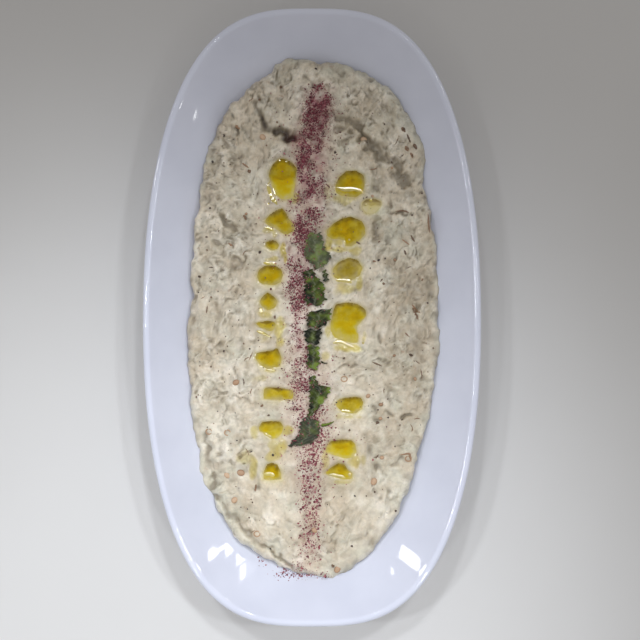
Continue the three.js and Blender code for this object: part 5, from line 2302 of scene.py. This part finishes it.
POOLS = (
    OilPool("oil_left_1", 2.3, (
        (-7.6, 61.4), (-7.1, 66.8), (-9.3, 69.2), (-13.4, 71.3), (-15.9, 70.4), (-18.3, 68.0),
        (-19.8, 64.1), (-18.8, 60.2), (-16.8, 55.3), (-13.4, 52.4), (-8.9, 53.4)), clean=0.85),
    OilPool("oil_left_2", 2.0, (
        (-10, 42.3), (-11, 43.6), (-12, 46), (-13.7, 48), (-16.8, 46.8), (-19.3, 45.1), (-21.5, 42.6),
        (-20.7, 41.2), (-16.8, 39.7), (-14.4, 37.7), (-12, 36.3), (-8.1, 38.2), (-8.6, 41.2))),
    OilPool("oil_left_3", 1.2, (
        (-15.1, 31.5), (-16.5, 33.1), (-18.5, 33.4), (-20.8, 32.5), (-21, 30.8), (-18.5, 29.1),
        (-15.8, 29.8))),
    OilPool("oil_left_4", 1.9, (
        (-13.4, 17.8), (-14.2, 20.2), (-16.5, 21.8), (-19, 21.9), (-21.5, 21.8), (-23.8, 20.2),
        (-24.9, 17.4), (-23.9, 14.6), (-21.3, 13.4), (-19, 13.1), (-16.8, 13.5), (-14.3, 14.7))),
    OilPool("oil_left_5", 1.5, (
        (-15.9, 5.8), (-17, 7.5), (-20.2, 9.8), (-22.7, 7.5), (-23.7, 5.8), (-23, 4), (-20, 1.7),
        (-17, 3))),
    OilPool("oil_left_6", 1.3, (
        (-16.5, -5.3), (-17.2, -3.8), (-20, -3.4), (-25.3, -3.8), (-24.9, -5), (-18.3, -7.7))),
    OilPool("oil_left_7", 1.9, (
        (-13.9, -20.2), (-15, -17.3), (-16.1, -14.9), (-16.8, -16.4), (-20, -16.8), (-25.1, -17.8),
        (-25.6, -19.8), (-23.6, -22.7), (-20.2, -24.8), (-14.9, -23.6))),
    OilPool("oil_left_8", 1.5, (
        (-8.6, -36.4), (-9, -34.6), (-15, -33.6), (-20, -33.3), (-21.5, -33.7), (-21.9, -36),
        (-21.7, -38.4), (-15, -38.6), (-9, -38.4))),
    OilPool("oil_left_9", 1.7, (
        (-13, -51), (-14.5, -48.8), (-18.5, -48.6), (-22.7, -49), (-24, -51.5), (-23.5, -53),
        (-20.5, -54), (-18.5, -56.3), (-16, -56), (-13.8, -53.8)), clean=0.75),
    OilPool("oil_left_10", 1.7, (
        (-14.1, -74.7), (-14.3, -72), (-15.8, -68.2), (-18.2, -67.5), (-20.3, -68.2),
        (-21.8, -71.6), (-21.9, -74.7), (-18.2, -74.9))),
    OilPool("oil_right_1", 2.1, (
        (23.9, 60.2), (23.4, 63.6), (20, 65.6), (15.7, 65.3), (12.3, 62.6), (10.8, 59.2),
        (10.8, 55.8), (13.3, 54.3), (20, 53.6), (23, 55.8))),
    OilPool("oil_right_2", 0.7, (
        (31.2, 49.5), (31.2, 51.5), (28, 52.8), (24.5, 52.3), (22.8, 50.8), (23.2, 48.5),
        (24.8, 46.4), (28.5, 46.6)), clean=1.2, thin=0.35),
    OilPool("oil_right_3", 2.2, (
        (23.9, 36.3), (23.9, 39.7), (22, 42.6), (17.6, 44.4), (13.7, 43.6), (9.9, 41.4), (6.7, 38.2),
        (6.9, 35.8), (9, 34.3), (12, 34.5), (14.4, 33.8), (15, 31.2), (18.1, 31), (20.5, 32.9))),
    OilPool("oil_right_4", 0.9, (
        (22.8, 21), (20.5, 24.5), (16.5, 25.5), (12, 23.5), (9.5, 20.5), (9.8, 17), (12.5, 15.2),
        (17.5, 15.2), (21.5, 17.5)), 0.62, clean=0.5, thin=0.85),
    OilPool("oil_right_5", 2.0, (
        (24.4, -0.9), (23.9, 2), (20.5, 4.4), (15.7, 5.1), (10.8, 4.4), (9.9, 2), (9.1, -1.4),
        (8.4, -4.3), (8.4, -7.2), (10.3, -10.6), (13.3, -11.8), (18.1, -13), (20.5, -13),
        (21, -9.6), (19.8, -7.7), (20, -5.7), (22, -3.3)), clean=0.7),
    OilPool("oil_right_6", 1.8, (
        (23, -40.5), (22, -38.1), (19.6, -37.6), (14.7, -38.1), (11.8, -39.1), (10.8, -40.8),
        (12.3, -42.9), (15.7, -44.2), (19.6, -44.9), (22, -42.9)), clean=0.25),
    OilPool("oil_right_7", 2.0, (
        (19.9, -62.5), (19.4, -59.1), (18, -57.4), (13.6, -57), (8.3, -57.7), (6.7, -60.1),
        (6.2, -62.5), (9.8, -63.4), (14.6, -65.1), (18.5, -64.6)), clean=0.75),
    OilPool("oil_right_8", 1.8, (
        (18, -72.1), (16, -70.6), (14.6, -68.2), (11.7, -67.7), (8.3, -69.7), (5.9, -72.1),
        (9.8, -73.3), (13.6, -74.5), (18, -74.5))),
)
FILMS = tuple(Patch(*sizes) for sizes in (
    (-8, 53, 2.5, 3, 0.5), (-19.5, 38.2, 3, 1.6, 0.25), (-17, 36, 1.6, 1.8, 0.3),
    (-18.4, 25.2, 3.2, 1.6, 0.45), (-13.4, 29, 1.4, 3.5, 0.5), (-12.2, 25.2, 1.0, 2.5, 0.45),
    (-20.5, 0.5, 4.5, 3, 0.35), (-14.5, -7.5, 3, 5, 0.45), (-14, -12.5, 2.2, 3.5, 0.4),
    (-21, -11, 4, 2.5, 0.15), (-19, -25.5, 4, 1.4, 0.25), (-26, -52.5, 2.5, 3.5, 0.25),
    (-11, -52.5, 3, 2.5, 0.4), (-16, -59, 5, 3, 0.2), (-14, -62, 3, 3, 0.2), (-27, -70, 2, 5, 0.3),
    (-17, -64.5, 4, 3, 0.3), (-30, -65, 4, 4, 0.15), (-22, -29, 4, 2, 0.12),
    (15, 52.5, 5, 3, 0.25), (8, 57, 2.5, 5, 0.12), (7.5, 33, 1.8, 4, 0.4), (12, 29.5, 6, 1.5, 0.35),
    (12, 32.6, 3.4, 2.2, 0.35), (20, 29, 3.5, 3, 0.3), (21.5, 14, 1.6, 4, 0.35),
    (14.7, 11.9, 5.5, 3.5, 0.3), (16, -15.5, 8, 2, 0.45), (23.5, -11, 1.5, 4, 0.25),
    (7.5, -8, 1.5, 4, 0.3), (6, -19, 2.5, 2.5, 0.2), (17, -46.5, 5, 1.5, 0.3),
    (12, -46, 2, 2, 0.15), (19.5, -67, 3.5, 3.5, 0.35), (6, -66, 2, 5, 0.25), (23, -66, 2, 4, 0.2),
    (14, -76, 4, 1.2, 0.3)))
TONES = tuple(Patch(*sizes) for sizes in (
    (0, 108, 70, 26, 0.22), (44, 82, 16, 20, 0.10), (46, 0, 17, 34, -0.32), (44, -42, 17, 30, -0.30),
    (42, 20, 18, 30, -0.10), (38, -88, 22, 16, 0.34), (0, 60, 16, 26, -0.28), (4, -78, 15, 34, -0.42),
    (0, -5, 22, 36, 0.22), (-40, -42, 20, 26, 0.20), (-44, 10, 14, 40, -0.04)))
HUES = tuple(Patch(*sizes) for sizes in (
    (-40, 85, 26, 30, -0.35), (30, 60, 16, 30, -0.15), (-40, 0, 18, 40, -0.1), (42, 20, 16, 40, 0.15),
    (20, 112, 30, 14, 0.3), (-34, 108, 26, 18, -0.4), (-38, -70, 16, 40, 0.35), (44, -60, 16, 30, 0.3),
    (0, -60, 20, 60, -0.1)))
OIL_BRIGHT: Colour = (0.52, 0.44, 0.30)
BEADS_PARTED_AT = 5.0
BEADS = (
    (2.0, ((-19.3, 60.7), (-20.5, 58.7), (-19.5, 56.3), (-18.3, 52.9), (-15.9, 49.9))),
    (1.1, ((-17.8, 57.8), (-16.6, 53.9))),
    (1.3, ((-15.4, 70.6), (-14.4, 70.2))),
    (1.2, ((-12.2, 70.1), (-11.2, 69.9))),
    (1.3, ((-20.4, 50.7), (-19.6, 50.1))),
    (1.7, ((-21.7, 39.5), (-19.8, 39.2), (-17.6, 38.0))),
    (1.4, ((-14.2, 29.5), (-11.7, 27.3))),
    (1.9, ((-22.2, 23.3), (-18.5, 22.8), (-16.1, 22.9))),
    (2.2, ((-23.6, 3.0), (-23.0, 0.4))),
    (1.6, ((-25.1, -7.7), (-22.7, -8.4), (-20.2, -9.9), (-18.3, -10.6))),
    (1.2, ((-21.0, -25.3), (-17.0, -25.5))),
    (1.6, ((-22.0, -53.8), (-20.3, -54.8), (-18.2, -56.0))),
    (1.9, ((-21.8, -72.4), (-19.1, -72.3), (-16.5, -73.3))),
    (2.2, ((11.1, 58.2), (13.3, 57.4), (15.0, 57.2), (19.1, 57.3), (22.0, 56.5), (23.2, 55.3))),
    (1.4, ((23.9, 50.4), (24.9, 49.7))),
    (1.4, ((26.0, 52.0), (27.5, 52.4))),
    (1.5, ((14.5, 33.6), (15.0, 31.0))),
    (1.3, ((16.5, 34.2), (17.3, 33.6))),
    (2.4, ((10.8, 15.3), (13.7, 15.2), (16.7, 14.8), (17.9, 14.1))),
    (2.2, ((9.4, -13.2), (11.6, -12.5), (13.7, -12.8), (16.2, -14.0), (18.8, -15.2))),
    (1.2, ((22.5, -13.1), (23.5, -13.3))),
    (2.0, ((13.0, -43.8), (15.2, -43.9), (17.9, -44.5))),
    (1.3, ((21.5, -43.2), (22.7, -42.5))),
    (1.8, ((7.9, -72.5), (9.8, -72.8), (12.7, -73.3), (15.1, -74.2))),
    (1.7, ((16.4, -72.3), (17.6, -72.7))),
)
TAN_SEEDS = (
    (-38.7, -73.2), (-32.3, -71.9), (-35.3, -84.4), (-34.5, -31.0), (-22.7, 81.3), (23.7, 80.9),
    (28.0, -75.9), (1.3, -97.9), (11.5, -116.0))
RING_SEEDS = ((-38.5, -53.8), (-47.1, -53.4), (43.9, -65.7), (14.5, -29.4), (-25.0, -99.6))
SPECKS = (
    (33.3, 25.5), (30.3, 24.5), (-32.4, 8.8), (9.9, -25.8), (-22.8, -41.7), (-27.7, -62.5),
    (28.2, 24.0), (50.6, 16.2), (-28.3, -15.8), (45.0, -18.5),
    (14.5, -19.9), (42.2, 85.7), (-46.7, 48.7), (43.5, 76.5),
    (45.7, 45.6), (30.6, 33.1), (11.8, 29.0), (-28.3, -7.6), (-52.7, -37.6), (14.5, -27.2),
    (-27.2, -85.4), (-40.1, -16.7), (-48.0, 29.4), (-18.7, -10.8), (-45.9, 70.8), (-17.7, -63.8),
    (40.8, -48.0), (18.0, -105.2), (-48.1, 35.4), (55.5, -15.3), (10.5, 74.1), (-16.9, -1.2),
    (-36.4, 81.0), (19.4, -82.3), (17.2, -52.5), (10.5, 79.7), (-33.3, -2.6), (9.5, 65.8),
    (-14.4, 105.6), (34.5, -47.0), (45.8, 73.7), (32.3, 13.9), (28.5, -80.5), (26.4, 20.8),
    (-23.8, 28.1), (-51.6, 17.5), (29.5, -49.4), (-16.2, 88.4), (-28.5, 65.3), (-40.5, 82.6),
    (-46.1, 7.9), (36.6, 70.0), (1.7, 113.5), (38.2, -89.4), (-18.9, -106.6), (9.5, -114.0),
    (-27.7, -84.0), (-21.0, 77.6), (-19.6, -45.7), (25.1, 79.7), (47.5, 78.0), (-24.5, 99.1))
SKINS = (
    (1.0, ((53.4, 46.5), (53.3, 42.0), (54.0, 37.5))),
    (0.9, ((-25.4, -77.0), (-25.9, -80.5))),
    (0.8, ((42.0, 29.5), (42.8, 27.0))),
    (1.0, ((45.4, 4.6), (47.2, 2.4), (49.4, 0.6))),
    (0.8, ((41.0, 34.5), (44.5, 32.0))),
    (0.9, ((45.2, 36.5), (47.0, 33.4))),
    (1.0, ((45.6, 3.0), (47.9, -0.6), (48.6, -2.8))),
    (0.8, ((38.2, 47.2), (41.4, 47.9), (44.6, 46.6))),
    (1.5, ((-35.4, 87.4), (-33.4, 85.6))),
    (1.2, ((-38.4, 32.6), (-36.4, 31.0))),
    (1.2, ((-31.4, 45.2), (-30.0, 43.0))),
    (1.6, ((41.3, 86.6), (43.0, 84.4))),
    (1.8, ((42.9, 77.8), (44.3, 75.4))),
    (1.5, ((46.9, 79.1), (48.3, 76.6))),
    (1.5, ((45.2, 74.7), (46.4, 72.5))),
    (0.8, ((-32.2, 69.3), (-29.0, 66.8))),
    (0.9, ((43.8, 83.6), (45.4, 79.6))),
    (0.9, ((39.6, -64.0), (44.6, -63.2), (45.2, -67.4))),
    (0.7, ((27.0, -21.6), (31.8, -23.6))),
    (0.7, ((19.6, 33.4), (22.0, 31.8))),
)


# ---------------------------------------------------------------- studio
@dataclass(frozen=True)
class Glint:
    """A rectangular light that shows only as a reflection, in some pieces or in all."""

    name: str
    piece: str
    place: Place
    target: Place
    size: tuple[float, float]
    radiance: float


GLINTS = (
    Glint("glint_far", "oil_beads_far", (30, 380, 650), (0, 0, 28), (420, 300), 34.0),
    Glint("glint_near", "oil_beads_near", (10, 110, 705), (0, -55, 28), (420, 170), 34.0),
    Glint("glint_left", "oil_beads", (-460, 130, 560), (0, 0, 28), (220, 160), 40.0),
    Glint("window_bar", "", (527, 208, 280), (-41.5, -106.6, 21.5), (105, 16), 16.0),
    Glint("window_left", "", (541, 204, 245), (-45.0, -108.2, 24.6), (28, 36), 16.0),
    Glint("window_right", "", (501, 232, 308), (-38.0, -107.7, 19.8), (36, 34), 16.0),
    Glint("window_low", "", (435, 296, 341), (-32.5, -111.2, 18.5), (52, 62), 12.0),
    Glint("window_glow", "", (350, 358, 370), (-27.0, -113.5, 17.2), (190, 120), 1.4),
    Glint("window_leg", "", (388, 359, 316), (-31.2, -116.8, 20.9), (28, 66), 16.0),
    Glint("lamp_right", "", (-529, 223, 248), (43.8, -110.2, 24.7), (84, 52), 16.0),
    Glint("lamp_small", "", (-446, 319, 282), (36.3, -116.5, 23.3), (12, 34), 14.0),
    Glint("spot_far", "", (602, -32, 236), (-53.8, 92.0, 25.2), (12, 12), 12.0),
)


@dataclass
class Studio:
    """The floor, the soft lights and the camera."""

    camera_place: Place = (0.0, -28.785, 581.246)
    camera_target: Place = (3.537, -2.854, 32.0)
    camera_lens: float = 68.62
    sensor: float = 36.0
    sky: Colour = (1.0, 0.98, 0.975)
    sky_strength: float = 0.44
    lamp_colour: Colour = (0.88, 0.925, 1.0)
    lamps: tuple[tuple[int, float], ...] = (
        (20, 0.16), (65, 0.22), (110, 0.22), (165, 0.18), (220, 0.10), (320, 0.12))
    lamp_aim: Place = (-62.0, -165.0, 25.0)
    lamp_distance: float = 2200.0
    lamp_height: float = 60.0
    lamp_radius: float = 80.0
    lamp_power: float = 190.0
    lamp_cone: float = 15.0
    floor_half: float = 12000.0
    near_limit: float = 10.0

    def aimed(self, place: Place, target: Place) -> Matrix:
        """Return a placement that looks from a place to a target with +Y upwards.

        Args:
            place: Where it stands.
            target: What it looks at.

        Returns:
            The placement, in metres.
        """
        origin = Vector(place) * MM
        back = (origin - Vector(target) * MM).normalized()
        right = Vector((0.0, 1.0, 0.0)).cross(back).normalized()
        up = back.cross(right)
        matrix = Matrix((right, up, back)).transposed().to_4x4()
        matrix.translation = origin
        return matrix

    def add_camera(self) -> None:
        """Add the camera."""
        camera = bpy.data.cameras.new("camera")
        camera.lens = self.camera_lens
        camera.sensor_width = self.sensor
        camera.clip_start = self.near_limit * MM
        holder = add_object("camera", camera)
        holder.matrix_world = self.aimed(self.camera_place, self.camera_target)
        bpy.context.scene.camera = holder

    def add_glint(self, glint: Glint) -> None:
        """Add a rectangular light that is seen only as a reflection.

        Args:
            glint: The light's size, place and strength.
        """
        light = bpy.data.lights.new(glint.name, "AREA")
        light.shape = "RECTANGLE"
        light.size, light.size_y = glint.size[0] * MM, glint.size[1] * MM
        light.energy = glint.radiance * math.pi * light.size * light.size_y
        holder = add_object(glint.name, light)
        holder.matrix_world = self.aimed(glint.place, glint.target)
        holder.visible_camera = False
        holder.visible_diffuse = False
        if glint.piece:
            lit = bpy.data.collections.new(f"lit_by_{glint.name}")
            for piece in bpy.data.objects:
                if piece.name.startswith(glint.piece):
                    lit.objects.link(piece)
            holder.light_linking.receiver_collection = lit

    def add_lamp(self, degrees: int, share: float) -> None:
        """Add a round soft lamp whose beam fades from its middle to its edge.

        Args:
            degrees: The lamp's direction from the dish, turning from +X towards +Y.
            share: Its share of the lamps' power.
        """
        light = bpy.data.lights.new(f"lamp_{degrees}", "SPOT")
        light.shadow_soft_size = self.lamp_radius * MM
        light.energy = share * self.lamp_power
        light.color = self.lamp_colour
        light.spot_size = math.radians(self.lamp_cone)
        light.spot_blend = 1.0
        turn, tilt = math.radians(degrees), math.radians(self.lamp_height)
        level = self.lamp_distance * math.cos(tilt)
        place = (self.lamp_aim[0] + level * math.cos(turn), self.lamp_aim[1] + level * math.sin(turn),
                 self.lamp_distance * math.sin(tilt))
        holder = add_object(light.name, light)
        holder.matrix_world = self.aimed(place, self.lamp_aim)

    def add_floor(self) -> None:
        """Add the floor."""
        half = self.floor_half * MM
        mesh = bpy.data.meshes.new("floor")
        mesh.from_pydata(
            [(-half, -half, 0.0), (half, -half, 0.0), (half, half, 0.0), (-half, half, 0.0)],
            [], [(0, 1, 2, 3)])
        mesh.materials.append(FloorFinish().material())
        floor = add_object("floor", mesh)

    def build(self) -> None:
        """Add the floor, the sky, the lights and the camera."""
        scene = bpy.context.scene
        scene.view_settings.view_transform = "Standard"
        world = bpy.data.worlds.new("studio")
        world.use_nodes = True
        background = world.node_tree.nodes["Background"]
        background.inputs["Color"].default_value = rgba(self.sky)
        background.inputs["Strength"].default_value = self.sky_strength
        scene.world = world
        self.add_floor()
        for degrees, share in self.lamps:
            self.add_lamp(degrees, share)
        for glint in GLINTS:
            self.add_glint(glint)
        self.add_camera()


def main() -> None:
    """Build the served dish and the studio."""
    logging.basicConfig(level=logging.INFO, format="%(name)s: %(message)s")
    effects = SharedEffects()
    dish = ServingDish()
    dish.build(GlazeFinish().material(effects))
    relief = HeapRelief(HeapForm(), dish, list(POOLS))
    band = SumacBand()
    DipHeap(relief, band).build(DipFinish().material(effects))
    oil = OilFinish().material(effects)
    for pool in POOLS:
        pool.build(relief, oil)
    bright = OilFinish("oil_bead", OIL_BRIGHT, roughness=0.05, mirror=0.5).material(effects)
    beads = OilBeads(relief)
    beads.build("oil_beads_far", [bead for bead in BEADS if bead[1][0][1] > BEADS_PARTED_AT], 61, bright)
    beads.build("oil_beads_near", [bead for bead in BEADS if bead[1][0][1] < BEADS_PARTED_AT], 62, bright)
    sumac = SUMAC_FINISH.material(effects)
    powder = Sumac(relief, band, "sumac_powder", count=11800, radii=(0.13, 0.27), seed=51, plain=True)
    powder.build(sumac)
    Sumac(relief, band, "sumac_grains", count=4300, radii=(0.23, 0.50), seed=52).build(sumac)
    bits = AubergineBits(relief)
    seed = SEED_FINISH.material(effects)
    bits.seeds(seed)
    bits.specks(seed)
    bits.skins(seed)
    parsley = ParsleyFinish().material(effects)
    for item in (*LEAVES, *SHREDS):
        item.build(relief, parsley)
    dust_on_leaves(LEAVES, sumac)
    Studio().build()


if __name__ == "__main__":
    main()
